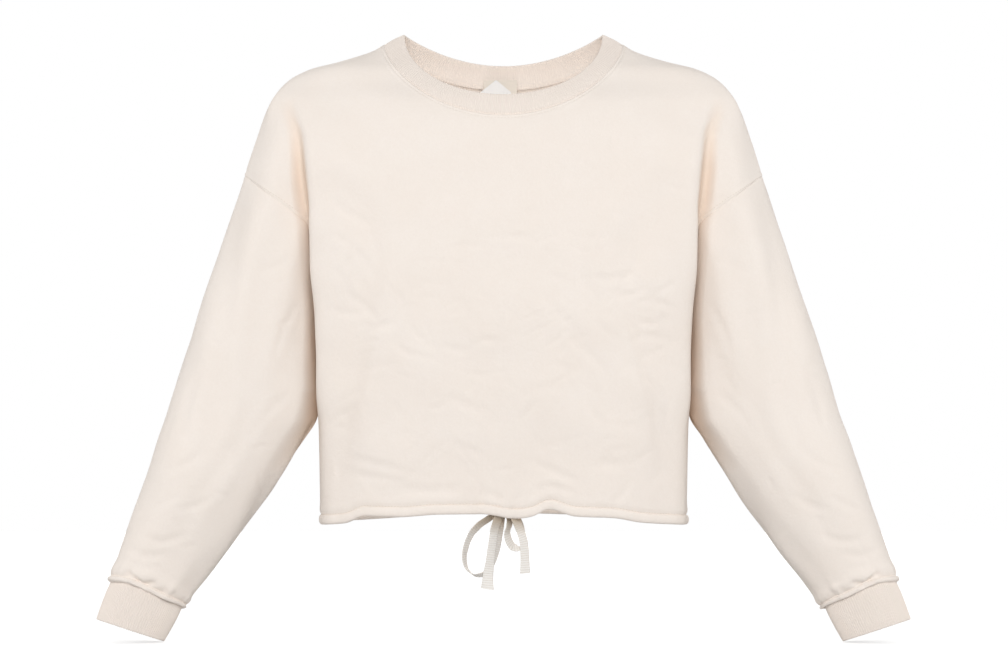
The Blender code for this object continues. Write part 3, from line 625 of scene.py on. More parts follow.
# Beside the body's fold the cloth sinks this share of the way to the middle of the arm, and
# rises again over so many millimetres outwards.
Sink = namedtuple("Sink", "height share wide")
SINKS = [Sink(-430, 0, 20), Sink(-400, 0.25, 22), Sink(-362, 0.5, 21), Sink(-306, 0.54, 16),
         Sink(-256, 0.34, 13), Sink(-216, 0.17, 13), Sink(-184, 0.18, 13), Sink(-160, 0.26, 14),
         Sink(-136, 0.29, 14), Sink(-106, 0.23, 13), Sink(-76, 0.15, 12), Sink(-54, 0, 12)]


def soft_step(part):
    """From 0 to 1 with a soft start and a soft end."""
    part = np.clip(part, 0, 1)
    return part * part * (3 - 2 * part)


def hollow_beside(grid, inner_x, inside=1.0):
    """How far each point sinks in beside the fold; points sink most up to inner_x."""
    height = grid[..., 2]
    outside = (np.abs(grid[..., 0]) - inner_x) / column(SINKS, "wide", height)
    return inside * (1 - soft_step(outside)) * column(SINKS, "share", height)


def sunk(grid, hollow):
    """Points moved in, by their hollow's share of the way, towards the middle of the arm."""
    return grid + ((RIDGE_Y - grid[..., 1]) * hollow)[..., None] * [0, 1, 0]


def on_panel(which, flat):
    """Points drawn on the flat half panel in their places on the body, and their hollow."""
    half, across, height = HALVES[which], flat[..., 0], flat[..., 1]
    fold, valley = half.to_fold(height), half.to_valley(height)
    grid = half.point(across, height)
    hollow = hollow_beside(grid, column(BODY, "valley_x", height),
                           soft_step((across - fold) / (0.75 * (valley - fold))))
    return sunk(grid, hollow), hollow


def panel(which):
    """A whole panel from hem to shoulder: its points, their places on the flat cloth, and
    how deep in the folds by the arms they are."""
    parts = []
    for sign in (-1, 1):
        flat = panel_flat(which, sign)
        grid, hollow = on_panel(which, flat)
        if sign < 0:
            grid, flat = (grid * [-1, 1, 1])[:, :0:-1], (flat * [-1, 1])[:, :0:-1]
            hollow = hollow[:, :0:-1]
        parts.append((grid, flat, hollow))
    grid, flat, hollow = (np.concatenate(pair, axis=1) for pair in zip(*parts))
    if which == "back":
        return grid[:, ::-1], flat[:, ::-1] * [-1, 1], hollow[:, ::-1]
    return grid, flat, hollow


def facings(grid, ring=False):
    """Outward directions of a grid whose rows go up and whose columns go to the right."""
    if ring:
        across = np.roll(grid, -1, axis=1) - np.roll(grid, 1, axis=1)
    else:
        across = np.gradient(grid, axis=1)
    return unit(np.cross(across, np.gradient(grid, axis=0)))


def trough(place, deep, wide, route, uneven=1.0):
    """A soft trough along a route, with a low swell beside it; it fades to its ends."""
    route = np.array(route, float)
    if len(route) > 2:
        route = smooth_route(route, 6)
    step = np.diff(route, axis=0)
    length = np.linalg.norm(step, axis=1)
    start = np.concatenate([[0], np.cumsum(length)])
    near = np.all((place > route.min(0) - 3.6 * wide) & (place < route.max(0) + 3.6 * wide),
                  axis=-1)
    spot = place[near]
    away, at = np.full(len(spot), np.inf), np.zeros(len(spot))
    for k in range(len(step)):
        part = np.clip((spot - route[k]) @ step[k] / length[k] ** 2, 0, 1)
        gap = np.linalg.norm(spot - route[k] - part[:, None] * step[k], axis=1)
        at = np.where(gap < away, start[k] + part * length[k], at)
        away = np.minimum(away, gap)
    fade = np.sin(math.pi * (at / start[-1]) ** uneven) ** 0.8
    q = away / wide
    out = np.zeros(place.shape[:-1])
    out[near] = deep * fade * (0.3 * np.exp(-((q - 1.8) / 0.75) ** 2) - np.exp(-q * q))
    return out


def creased(place, creases):
    """All of a table's creases: rows of depth, width, unevenness and route."""
    total = np.zeros(place.shape[:-1])
    for deep, wide, uneven, *route in creases:
        total += trough(place, deep, wide, route, uneven)
    return total


def crumple(place, seed, count, low, high, longest=34.0, deep=0.55):
    """Many small creases at all angles, as cloth keeps from being folded away."""
    random = np.random.default_rng(seed)
    total = np.zeros(place.shape[:-1])
    for _ in range(count):
        middle = random.uniform(low, high)
        turn, half = random.uniform(0, math.pi), random.uniform(0.2, 0.5) * longest
        reach = np.array([math.cos(turn), math.sin(turn)]) * half
        bend = random.uniform(-0.18, 0.18) * half * np.array([-math.sin(turn), math.cos(turn)])
        total += trough(place, random.uniform(0.35, 1.0) * deep, random.uniform(1.9, 3.6),
                        [middle - reach, middle + bend, middle + reach])
    return total


def ripples(place, size, seed):
    """Slow, uneven waves about this many millimetres long and about 1 high."""
    waves = 18
    random = np.random.default_rng(seed)
    total = np.zeros(place.shape[:-1])
    for _ in range(waves):
        turn, phase = random.uniform(0, 2 * math.pi, 2)
        pace = 2 * math.pi / (size * random.uniform(0.7, 1.6))
        total += np.cos((place @ [math.cos(turn), math.sin(turn)]) * pace + phase)
    return total / math.sqrt(waves / 2)


def gap_to(grid, line):
    """Distance from each point to a line of closely set points, in the same units."""
    flat = grid.reshape(-1, 3)
    out = np.empty(len(flat))
    for k in range(0, len(flat), 2000):
        part = flat[k:k + 2000]
        out[k:k + 2000] = np.sqrt(((part[:, None] - line[None]) ** 2).sum(-1).min(1))
    return out.reshape(grid.shape[:-1])


def seam_roll(gap, turned=0.9, swell=0.5, width=6.0, sewn_at=0.0):
    """Cloth turned in at a seam, lifted beside it by the seam allowance below and drawn in
    again along its topstitching."""
    lifted = soft_step((width - gap) / 2.0) * soft_step(gap / 2.0)
    drawn = 0.65 * np.exp(-((gap - sewn_at) / 1.0) ** 2) if sewn_at else 0.0
    return swell * lifted - turned * np.exp(-(gap / 1.1) ** 2) - drawn


def facing_front(normals):
    """1 where the cloth faces forward, and 0 where it faces sideways or back."""
    return np.clip((-normals[..., 1] - 0.05) / 0.35, 0, 1)


# Colour of the unbleached cotton, with painted shade deep in the folds beside the arms, and the
# knit's fine columns of loops.
jersey = Finish("brushed_jersey", 0.92, sheen=0.12)
CREAM, CREAM_LIGHT = (0.900, 0.823, 0.757), (0.925, 0.860, 0.805)
CREAM_DEEP, CREAM_PAINTED_FOLD_SHADE = (0.870, 0.784, 0.708), (0.76, 0.58, 0.435)
KNIT_LOOP, KNIT_ROW = 0.0012, 0.0009
patches = jersey.noise(0.045, 3).clipped(0.35, 0.7)
flecks = jersey.noise(0.0022, 2).clipped(0.3, 0.7)
cloth_tone = jersey.blend(patches * 0.45, CREAM, CREAM_LIGHT)
cloth_tone = jersey.blend(flecks * 0.3, cloth_tone, CREAM_DEEP)
# painted shade: deep in the fold beside each arm, read from the mesh's hollow, the cream turns
# brown
painted_fold_shade = jersey.node("ShaderNodeAttribute", {"attribute_name": "hollow"}, output="Fac")
jersey.coloured(jersey.blend(painted_fold_shade.clipped(0.0, 0.55), cloth_tone, CREAM_PAINTED_FOLD_SHADE))
loops = jersey.flat(0).wave(KNIT_LOOP) * jersey.flat(1).wave(KNIT_ROW)
brushed = jersey.noise(0.0035, 3) * 1.2 + jersey.noise(0.0009, 1) * 0.4
jersey.raised(loops * 0.35 + brushed, 0.00022)

front_grid, front_flat, front_hollow = panel("front")
front_out = facings(front_grid)
front_xz = front_grid[..., [0, 2]]
seam_share = np.linspace(0, 1, 900)


def on_body(which, flat, sign):
    """Points drawn on the flat half panel in their places, on the left for 1, right for -1."""
    return on_panel(which, flat)[0] * [sign, 1, 1]


def both_sides(which, flat):
    """The same points on the left half of a panel and on the right."""
    return np.concatenate([on_body(which, flat, -1), on_body(which, flat, 1)])


neck_seam = {which: both_sides(which, neck_line(which, count=400)) for which in HALVES}
armhole_seam = {which: both_sides(which, armhole_line(which, seam_share)) for which in HALVES}
shoulder_levels = np.linspace(NECK_POINT, TIP, 500)
side_levels = np.linspace(HEM_LEVEL, UNDERARM, 300)
ridge_seam = {which: np.concatenate([
    both_sides(which, np.stack([half.to_outer(shoulder_levels), shoulder_levels], -1)),
    both_sides(which, np.stack([half.to_valley(side_levels), side_levels], -1))])
    for which, half in HALVES.items()}


def quiet_armpit(grid):
    """0 where the sleeve lies against the body, 1 away from there."""
    gap = gap_to(grid, armhole_seam["front"][armhole_seam["front"][:, 2] < SEAM_JOINS_FOLD])
    back = gap_to(grid, armhole_seam["back"][armhole_seam["back"][:, 2] < SEAM_JOINS_FOLD])
    return np.clip((np.minimum(gap, back) - 14) / 26, 0, 1)


def seams_of(which, grid):
    """What its seams do to a panel, and where its creases die away beside them."""
    neck, armhole = gap_to(grid, neck_seam[which]), gap_to(grid, armhole_seam[which])
    seams = (seam_roll(neck, 1.2, 0.5, 7.0, NECK_SEWN)
             + seam_roll(armhole, 0.5, 0.4, 8.0, ARMHOLE_SEWN)
             + seam_roll(gap_to(grid, ridge_seam[which]), 0.4, 0.2, 6.0))
    # where the shoulder seam meets the neckband they lie flat
    corner = np.array([[-NECK_HALF, RIDGE_Y, NECK_POINT], [NECK_HALF, RIDGE_Y, NECK_POINT]])
    calm = soft_step(armhole / 16) * soft_step(neck / 12)
    return seams * soft_step(gap_to(grid, corner) / 9), calm


def hem_gathers(flat, seed, bow):
    """Short upright puckers where the casing and its tape draw the cloth in."""
    above = flat[..., 1] - flat[0, :, 1][None]
    place = np.stack([flat[..., 0], above * 0.35], -1)
    amount = 0.3 + 0.7 * np.exp(-((flat[..., 0] - bow) / 38) ** 2)
    gathers = amount * np.exp(-(above / 15) ** 2) * ripples(place, 19, seed)
    return gathers - 1.3 * np.exp(-(above / 1.5) ** 2) + 0.5 * np.exp(-((above - 6) / 3) ** 2)


# The creases: depth, width, unevenness, then the route across the front as (x, height).
FRONT_CREASES = [
    # the long soft hollow down each side of the chest, which starts at a soft bend
    (5.4, 18, 0.8, (-166, -125), (-148, -168), (-131, -205), (-136, -240), (-146, -290),
     (-155, -345), (-163, -400), (-168, -462)),
    (-0.9, 7, 0.9, (-110, -185), (-115, -240), (-127, -300), (-138, -360), (-150, -430)),
    (4.5, 17, 0.9, (158, -125), (143, -171), (130, -214), (136, -266), (147, -310),
     (158, -356), (165, -406), (170, -455)),
    (-0.9, 7, 1.0, (109, -205), (114, -262), (127, -312), (140, -370), (148, -430)),
    # short drag lines that come in from the armpits
    (1.2, 4.0, 0.8, (-172, -156), (-156, -170), (-130, -186)),
    (1.1, 3.6, 0.9, (-170, -190), (-149, -206), (-126, -235)),
    (1.1, 3.8, 1.1, (-162, -246), (-140, -262), (-116, -284)),
    (1.0, 3.4, 1.0, (-172, -222), (-158, -238), (-150, -262)),
    (0.9, 3.2, 1.0, (-176, -262), (-158, -270), (-134, -268)),
    (1.2, 3.8, 0.8, (86, -236), (108, -236), (134, -229)),
    (1.1, 3.4, 1.0, (106, -256), (125, -252), (146, -246)),
    (1.1, 3.4, 1.1, (128, -259), (150, -258), (172, -268)),
    (1.0, 3.8, 0.9, (138, -212), (126, -231), (112, -250)),
    (1.0, 3.2, 1.0, (134, -260), (152, -249), (174, -236)),
    (0.9, 3.0, 0.9, (120, -272), (144, -280), (170, -276)),
    (0.8, 3.4, 1.1, (118, -300), (140, -292), (168, -298)),
    # slanting creases across the middle
    (0.9, 4.4, 0.9, (-48, -252), (-38, -264), (-22, -290)),
    (0.8, 4.0, 1.0, (66, -224), (74, -232), (84, -248)),
    (1.0, 4.6, 0.8, (34, -248), (60, -276), (97, -319)),
    (0.9, 4.2, 1.1, (54, -282), (76, -304), (105, -330)),
    (1.0, 4.4, 0.9, (-57, -350), (-40, -358), (-16, -369)),
    (0.7, 5.0, 1.0, (-30, -300), (-36, -330), (-33, -352)),
    (0.7, 4.6, 1.2, (14, -352), (34, -344), (58, -341)),
    # low creases just over the hem
    (1.0, 3.6, 0.9, (-160, -410), (-124, -418), (-84, -428)),
    (0.9, 3.2, 1.0, (-158, -428), (-126, -431), (-92, -436)),
    (1.0, 4.4, 0.9, (-110, -441), (-70, -444), (-30, -440)),
    (1.6, 3.6, 0.8, (-18, -444), (-9, -449), (4, -456)),
    (1.1, 3.8, 0.9, (20, -412), (48, -424), (84, -440)),
    (1.2, 3.4, 1.1, (22, -449), (42, -440), (72, -446)),
    (1.4, 3.4, 0.9, (105, -459), (113, -452), (124, -442)),
    (1.0, 3.2, 1.0, (113, -447), (121, -439), (127, -433)),
    (0.9, 4.6, 1.0, (86, -421), (104, -417), (121, -420)),
]
front_relief = (creased(front_xz, FRONT_CREASES)
                + crumple(front_xz, 11, 210, (-170, -440), (170, -190), 48, deep=0.75)
                + crumple(front_xz, 12, 70, (-170, -260), (170, -90), 44, deep=0.4)
                + 0.55 * ripples(front_xz, 70, 3)) * facing_front(front_out)
front_seams, calm = seams_of("front", front_grid)
front_relief = (front_relief * calm * quiet_armpit(front_grid) + front_seams
                + hem_gathers(front_flat, 5, BOW))
front_grid = front_grid + front_out * front_relief[..., None]


def sew(name, grid, flat, hollow, ring=False):
    """A piece of the jersey whose outside is the grid, with its own closed edges."""
    thing = weave(name, grid * MM, flat * MM, jersey, ring=ring, hollow=hollow)
    bpy.context.view_layer.objects.active = thing
    wall = thing.modifiers.new("thickness", "SOLIDIFY")
    wall.thickness, wall.offset = CLOTH * MM, -1
    bpy.ops.object.modifier_apply(modifier="thickness")
    return smooth(thing)


front = sew("front_panel_cloth", front_grid, front_flat, front_hollow)
fits(front, "front_panel")

# ---------------------------------------------------------------------------------------
# Back panel. The same cloth, cut like the front with a shallower neck, and joined to it
# along the shoulders and down the sides. It lies closer to the figure, so its folds are
# fewer and hang more upright.
back_grid, back_flat, back_hollow = panel("back")
back_out = facings(back_grid)
back_xz = back_grid[..., [0, 2]]
BACK_CREASES = [
    (3.0, 13, 0.9, (132, -150), (138, -215), (146, -290), (151, -360), (160, -440)),
    (2.8, 12, 1.1, (-138, -160), (-140, -230), (-150, -300), (-148, -370), (-158, -445)),
    (-2.6, 12, 1.0, (171, -230), (172, -300), (173, -380)),
    (-2.6, 12, 1.0, (-171, -220), (-170, -310), (-172, -385)),
    (1.9, 11, 1.2, (62, -210), (57, -290), (64, -370), (58, -452)),
    (1.7, 10, 0.9, (-48, -235), (-57, -310), (-50, -390), (-55, -455)),
    (1.3, 9, 1.1, (6, -280), (2, -350), (8, -430)),
    (1.4, 5.0, 0.9, (165, -190), (148, -206), (124, -224)),
    (1.3, 4.6, 1.1, (158, -238), (140, -250), (112, -262)),
    (1.4, 4.8, 0.9, (-166, -182), (-150, -196), (-122, -212)),
    (1.2, 4.4, 1.0, (-160, -262), (-138, -270), (-114, -286)),
    (1.0, 6.0, 1.0, (-70, -92), (-30, -104), (20, -106), (66, -94)),
    (0.9, 4.4, 0.9, (-92, -300), (-72, -318), (-60, -344)),
    (0.9, 4.4, 1.1, (94, -330), (76, -346), (70, -372)),
    (1.2, 4.2, 0.9, (-126, -428), (-98, -434), (-66, -432)),
    (1.3, 4.2, 1.1, (34, -436), (64, -442), (104, -436)),
    (1.1, 4.0, 0.9, (-30, -446), (-6, -450), (20, -447)),
]
back_relief = (creased(back_xz, BACK_CREASES)
               + crumple(back_xz, 21, 130, (-160, -440), (160, -120), deep=0.45)
               + 0.6 * ripples(back_xz, 80, 23)) * facing_front(back_out * [1, -1, 1])
back_seams, calm = seams_of("back", back_grid)
back_relief = (back_relief * calm * quiet_armpit(back_grid) + back_seams
               + hem_gathers(back_flat, 25, NO_BOW))
back_grid = back_grid + back_out * back_relief[..., None]
back = sew("back_panel_cloth", back_grid, back_flat, back_hollow)
fits(back, "back_panel")

# ---------------------------------------------------------------------------------------
# Sleeves. Each is one piece of the same cloth, sewn into the armhole below the dropped
# shoulder and closed under the arm. It hangs down and outwards, lies against the body in
# the armpit, and is gathered a little into its cuff.
Tube = namedtuple("Tube", "height inner outer deep middle")
SLEEVE = [
    Tube(-132, 186, 259, 43, 4), Tube(-177, 182, 274, 49, 4), Tube(-220, 184, 288, 53, 4),
    Tube(-270, 184, 305, 55, 4), Tube(-320, 183, 321, 56, 4), Tube(-348, 182.6, 330, 56, 4),
    Tube(-372, 186.5, 337, 55, 3), Tube(-396, 200, 346, 53, 1), Tube(-436, 226.5, 359, 48, -2),
    Tube(-476, 253.5, 373, 42, -4), Tube(-516, 282.5, 387.5, 34, -6), Tube(-564, 319, 404, 27, -8),
][::-1]
Edge = namedtuple("Edge", "outer_x outer_z inner_x inner_z deep middle lift hitch")
CUFF_SEAM = Edge(394.0, -537.5, 319.5, -564.0, 27.5, -7.0, 4.5, 3.0)
HITCH_AT, HITCH_WIDE = math.radians(69), math.radians(28)
ARMPIT_ROWS = (0, 1 / 13, 2 / 13, 3 / 13, 4 / 13)
ARMPIT_STAND_OFF = (0.3, 0.9, 0.9, 0.5, 0.0)
SLEEVE_ROWS, SLEEVE_COLUMNS = 168, 160


def sleeve_point(angle, height):
    """Point of the plain sleeve tube: angle 0 outside, 90 in front, 180 inside, 270 behind."""
    inner, outer = column(SLEEVE, "inner", height), column(SLEEVE, "outer", height)
    deep, middle = column(SLEEVE, "deep", height), column(SLEEVE, "middle", height)
    return np.stack([(inner + outer) / 2 + (outer - inner) / 2 * np.cos(angle),
                     middle - deep * np.sin(angle), height], -1)


def edge_ring(edge, count):
    """An oval edge of the sleeve or the cuff; a tuck hitches it up at one place in front."""
    angle = np.arange(count) * 2 * math.pi / count
    centre_x, centre_z = (edge.inner_x + edge.outer_x) / 2, (edge.inner_z + edge.outer_z) / 2
    return np.stack([centre_x + (edge.outer_x - edge.inner_x) / 2 * np.cos(angle),
                     edge.middle - edge.deep * np.sin(angle),
                     centre_z + (edge.outer_z - edge.inner_z) / 2 * np.cos(angle)
                     + edge.lift * np.sin(angle)
                     + edge.hitch * np.exp(-((angle - HITCH_AT) / HITCH_WIDE) ** 2)], -1)


def sleeve_grid():
    """Left sleeve from the armhole down; columns go outside, front, inside, back."""
    share = np.arange(SLEEVE_COLUMNS // 2 + 1) / (SLEEVE_COLUMNS // 2)
    share = 1 - (1 - share) ** 1.15
    front_line, back_line = armhole_line("front", share)[::-1], armhole_line("back", share)
    ring = np.concatenate([HALVES["front"].point(*front_line.T)[:-1],
                           HALVES["back"].point(*back_line.T)[:-1]])
    body_edge = np.concatenate([on_body("front", front_line, 1)[:-1],
                                on_body("back", back_line, 1)[:-1]])
    count = len(ring)
    inner, outer = column(SLEEVE, "inner", ring[:, 2]), column(SLEEVE, "outer", ring[:, 2])
    start = np.arccos(np.clip((ring[:, 0] - (inner + outer) / 2) / ((outer - inner) / 2), -1, 1))
    start[count // 2 + 1:] = 2 * math.pi - start[count // 2 + 1:]
    start[count // 2], start[0] = math.pi, 0.0
    end = np.arange(count) * 2 * math.pi / count
    cuff = edge_ring(CUFF_SEAM, count)
    top_gap = ring - sleeve_point(start, ring[:, 2])
    end_gap = cuff - sleeve_point(end, cuff[:, 2])
    low = np.clip((SEAM_JOINS_FOLD - ring[:, 2]) / 12, 0, 1)
    down = crowded(SLEEVE_ROWS, 14, 22, 0.28)
    rows = []
    for v in down:
        angle = start + (end - start) * v ** 0.6
        height = ring[:, 2] + (cuff[:, 2] - ring[:, 2]) * v
        row = sleeve_point(angle, height) + top_gap * (1 - v) ** 5 + end_gap * v ** 6
        row[:, 0] += low * np.interp(v ** 0.8, ARMPIT_ROWS, ARMPIT_STAND_OFF)
        rows.append(row)
    rows = np.array(rows)
    height = rows[..., 2]
    hollow = hollow_beside(rows, np.where(height > UNDERARM, column(BODY, "valley_x", height),
                                          column(SLEEVE, "inner", height)))
    rows = sunk(rows, hollow)
    # its top edge lies exactly on the body's
    return rows + (body_edge - rows[0]) * ((1 - down) ** 8)[:, None, None], hollow


left_sleeve, left_hollow = sleeve_grid()
sleeve_girth = lengths_along(np.concatenate([left_sleeve[60], left_sleeve[60, :1]]))
sleeve_length = lengths_along(left_sleeve[:, SLEEVE_COLUMNS // 8])
sleeve_flat = np.stack(np.broadcast_arrays(sleeve_girth[None], -sleeve_length[:, None]), -1)

# Creases on the left sleeve, seen from the front and then from behind.
SLEEVE_FRONT = [
    (3.0, 11, 0.9, (262, -150), (270, -215), (277, -290), (286, -385), (300, -450)),
    (-2.4, 11, 1.0, (222, -235), (228, -290), (238, -350)),
    (2.0, 8, 1.1, (236, -330), (262, -392), (300, -452), (330, -500)),
    (0.9, 4.6, 0.9, (204, -210), (222, -222), (246, -230)),
    (0.9, 4.0, 1.1, (200, -254), (216, -280), (228, -316)),
    (0.9, 4.2, 0.9, (208, -346), (232, -366), (252, -396)),
    (0.9, 4.2, 1.0, (296, -320), (312, -352), (320, -392)),
    (1.0, 4.0, 0.9, (294, -404), (317, -420), (344, -427)),
    (0.9, 3.6, 1.0, (278, -444), (304, -460), (330, -464)),
    (1.1, 4.0, 0.9, (322, -450), (346, -462), (370, -476)),
    (1.1, 3.8, 1.1, (308, -486), (338, -496), (362, -490)),
    (1.0, 3.6, 0.9, (334, -508), (357, -510), (378, -500)),
    # the tuck over the cuff seam
    (2.8, 2.6, 1.2, (375, -526), (365, -533), (357, -540)),
    (2.2, 2.4, 0.8, (345, -536), (353, -538), (361, -542)),
    (-1.3, 4.5, 1.0, (372, -538), (358, -530), (342, -530)),
    (1.0, 3.6, 1.0, (324, -549), (335, -546), (347, -546)),
]
SLEEVE_BACK = [
    (2.6, 11, 1.0, (244, -165), (252, -235), (268, -320), (290, -400)),
    (1.9, 9, 0.9, (286, -250), (300, -330), (322, -410), (345, -470)),
    (1.5, 5.0, 1.0, (212, -230), (232, -246), (250, -250)),
    (1.4, 4.6, 0.9, (206, -300), (226, -316), (240, -340)),
    (1.5, 4.6, 1.1, (240, -372), (262, -384), (284, -388)),
    (1.4, 4.4, 0.9, (292, -420), (310, -436), (334, -440)),
    (1.5, 4.2, 1.0, (296, -470), (318, -480), (340, -476)),
    (1.6, 4.0, 0.9, (326, -505), (346, -512), (368, -506)),
    (1.5, 3.6, 1.0, (344, -532), (358, -526), (374, -526)),
]


def sleeve_relief(grid, normals, seed):
    """What creases, seams and the gathers over the cuff do to a sleeve, rows going down."""
    place = grid[..., [0, 2]]
    front, behind = facing_front(normals), facing_front(normals * [1, -1, 1])
    folds = ((creased(place, SLEEVE_FRONT) + crumple(place, seed, 46, (205, -520), (370, -190)))
             * front
             + (creased(place, SLEEVE_BACK)
                + crumple(place, seed + 1, 46, (205, -520), (370, -190))) * behind)
    round_, down = sleeve_flat[:, :-1, 0], -sleeve_flat[..., :-1, 1]
    to_cuff = sleeve_length[-1] - down
    turn = round_ / sleeve_girth[-1] * 2 * math.pi
    gathers = sum(size * np.cos(count * turn + phase) for count, size, phase in (
        (9, 0.5, 0.3), (14, 0.6, 1.9), (19, 0.55, 4.0), (26, 0.3, 2.2)))
    folds += 0.6 * ripples(np.stack([round_, down * 0.6], -1), 75, seed + 2)
    folds *= quiet_armpit(grid) * np.clip(down / 20, 0, 1)
    folds += 0.6 * gathers * np.exp(-((to_cuff - 9) / 12) ** 2) * np.clip(to_cuff / 6, 0, 1)
    # the full end of the sleeve swells, is sewn down, and rolls over the cuff seam
    folds += 1.8 * np.exp(-((to_cuff - 14) / 7) ** 2)
    folds += 2.1 * np.exp(-((to_cuff - 3.2) / 2.6) ** 4)
    folds -= 0.9 * np.exp(-((to_cuff - 6.9) / 1.1) ** 2)
    folds -= 1.8 * np.exp(-(to_cuff / 0.7) ** 2)
    folds += seam_roll(down, 0.5, 0.0, 7.0)
    # the underarm seam, from the armpit to the cuff along the inside of the sleeve
    inside = np.abs(round_ - sleeve_girth[SLEEVE_COLUMNS // 2])
    underarm = 0.35 * np.exp(-((inside - 4) / 2.2) ** 2) - 0.6 * np.exp(-(inside / 1.4) ** 2)
    return folds + underarm * np.clip(down / 12, 0, 1)


sleeves = {}
for side, word, seed in ((1, "left", 31), (-1, "right", 41)):
    grid = left_sleeve * [side, 1, 1]
    # rows go up and columns to the right, seen from outside
    grid, flat, hollow = grid[::-1], sleeve_flat[::-1], left_hollow[::-1]
    if side > 0:
        grid, flat, hollow = grid[:, ::-1], flat[:, ::-1], hollow[:, ::-1]
    normals = facings(grid, ring=True)
    relief = sleeve_relief(left_sleeve, facings(left_sleeve[::-1, ::-1], ring=True)[::-1, ::-1],
                           seed)[::-1]
    if side > 0:
        relief = relief[:, ::-1]
    grid = grid + normals * relief[..., None]
    sleeves[word] = (grid, normals)
    sleeve = sew("sleeve_" + word + "_cloth", grid, flat, hollow, ring=True)
    fits(sleeve, "sleeve_" + word)

# ---------------------------------------------------------------------------------------
# Cuffs. Each is a doubled band of fine rib knit, folded at its free edge and sewn to the
# gathered end of the sleeve, so its ribs run straight down the wrist.
RIB_THICK = 2.2
CUFF_END = Edge(406.5, -574.5, 338.7, -596.8, 24.0, -10.0, 1.5, 0.0)
CUFF_RIB = 2.2
RIB_COLUMNS = 6                       # points round each rib
rib = Finish("rib_knit", 0.9, sheen=0.12)
RIB_TONE, RIB_DEEP = (0.865, 0.785, 0.720), (0.825, 0.738, 0.668)
rib.coloured(rib.blend(rib.noise(0.0022, 2).clipped(0.3, 0.7) * 0.2
                       + rib.noise(0.03, 2).clipped(0.35, 0.7) * 0.3, RIB_TONE, RIB_DEEP))
rib.raised(rib.flat(1).wave(0.0011), 0.00006)


def ribbed(name, outside, high, thin=0):
    """A doubled band of rib knit: outside face, rounded fold at its last row, inside face.

    Its first rows, so many of them, lie in the seam and are pressed thin.
    """
    rows, columns = outside.shape[:2]
    wall = RIB_THICK * np.clip((np.arange(rows) + 0.6) / (thin + 0.6), 0, 1)
    normals = facings(outside, ring=True)
    phase = np.arange(columns) / RIB_COLUMNS
    ridge = (np.sin(math.pi * phase) ** 2 * high)[None, :, None]
    onward = unit(outside[-1] - outside[-2])
    end, out, bend = outside[-1] - onward * RIB_THICK / 2, normals[-1], RIB_THICK / 2
    grid = [outside[r] + normals[r] * (ridge[0] - high) for r in range(rows - 1)]
    for a in np.linspace(0, math.pi, 9):
        round_ = out * math.cos(a) + onward * math.sin(a)
        grid.append(end - out * bend + round_ * (bend + ridge[0] - high))
    grid += [outside[r] - normals[r] * (wall[r] + (ridge[0] - high) * 0.5)
             for r in range(rows - 2, -1, -1)]
    grid = np.array(grid)
    up = np.concatenate([[0], np.cumsum(np.linalg.norm(np.diff(grid[:, 0], axis=0), axis=1))])
    flat = np.stack(np.broadcast_arrays(
        np.arange(columns + 1)[None] / RIB_COLUMNS * CUFF_RIB,
        np.append(up, up[-1] + RIB_THICK)[:, None]), -1)
    return smooth(weave(name, grid * MM, flat * MM, rib, ring=True, closed=True), 80)


for side, word in ((1, "left"), (-1, "right")):
    ring = edge_ring(CUFF_SEAM, 720)
    ribs = int(round(lengths_along(ring)[-1] / CUFF_RIB))
    top, end = edge_ring(CUFF_SEAM, ribs * RIB_COLUMNS), edge_ring(CUFF_END, ribs * RIB_COLUMNS)
    outside = []
    for v in np.concatenate([[-0.1, 0, 0.02, 0.06], np.linspace(0.12, 1, 12)]):
        row = top + (end - top) * v
        centre = row.mean(0)
        tuck = 1 - 0.045 * (1 - max(v, 0)) ** 3 + min(v, 0) * 0.35
        outside.append(centre + (row - centre) * tuck)
    outside = np.array(outside) * [side, 1, 1]
    if side < 0:
        outside = outside[:, ::-1]
    # rows go down here, so columns run to the left seen from outside
    cuff = ribbed("cuff_" + word + "_rib", outside, 0.5)
    fits(cuff, "cuff_" + word)

# ---------------------------------------------------------------------------------------
# Neckband. A doubled strip of the same rib, a little shorter than the neck edge, so that
# it stands up and in against the neck, with its ribs running up from the seam.
BAND_HALF, BAND_TOP, BAND_FRONT, BAND_BACK = 99.0, 10.0, -53.0, -18.0
BAND_MIDDLE_Y, BAND_FRONT_Y, BAND_BACK_Y, BAND_BULGE = 6.0, -66.0, 62.0, 1.6
NECK_RIB = 2.5
QUARTER = 56 * RIB_COLUMNS


def band_rings():
    """The neckband's seam and free edge, from centre front towards the left and round."""
    quarters = []
    for which in ("front", "back"):
        chart = neck_line(which, count=QUARTER)
        seam = HALVES[which].point(chart[:, 0], chart[:, 1])
        angle = np.linspace(math.pi / 2, 0, 500)
        low, power = ((BAND_FRONT, 1.0) if which == "front" else (BAND_BACK, 2.0))
        depth = BAND_FRONT_Y if which == "front" else BAND_BACK_Y
        free = np.stack([BAND_HALF * np.cos(angle),
                         BAND_MIDDLE_Y + (depth - BAND_MIDDLE_Y) * np.sin(angle) ** 0.95,
                         BAND_TOP + (low - BAND_TOP) * np.sin(angle) ** power], -1)
        quarters.append((seam, evenly(free, QUARTER)))

    rings = []
    for k in (0, 1):
        half_ring = np.concatenate([quarters[0][k], quarters[1][k][::-1][1:]])
        rings.append(np.concatenate([half_ring, (half_ring * [-1, 1, 1])[::-1][1:-1]]))
    return rings


seam, free = band_rings()
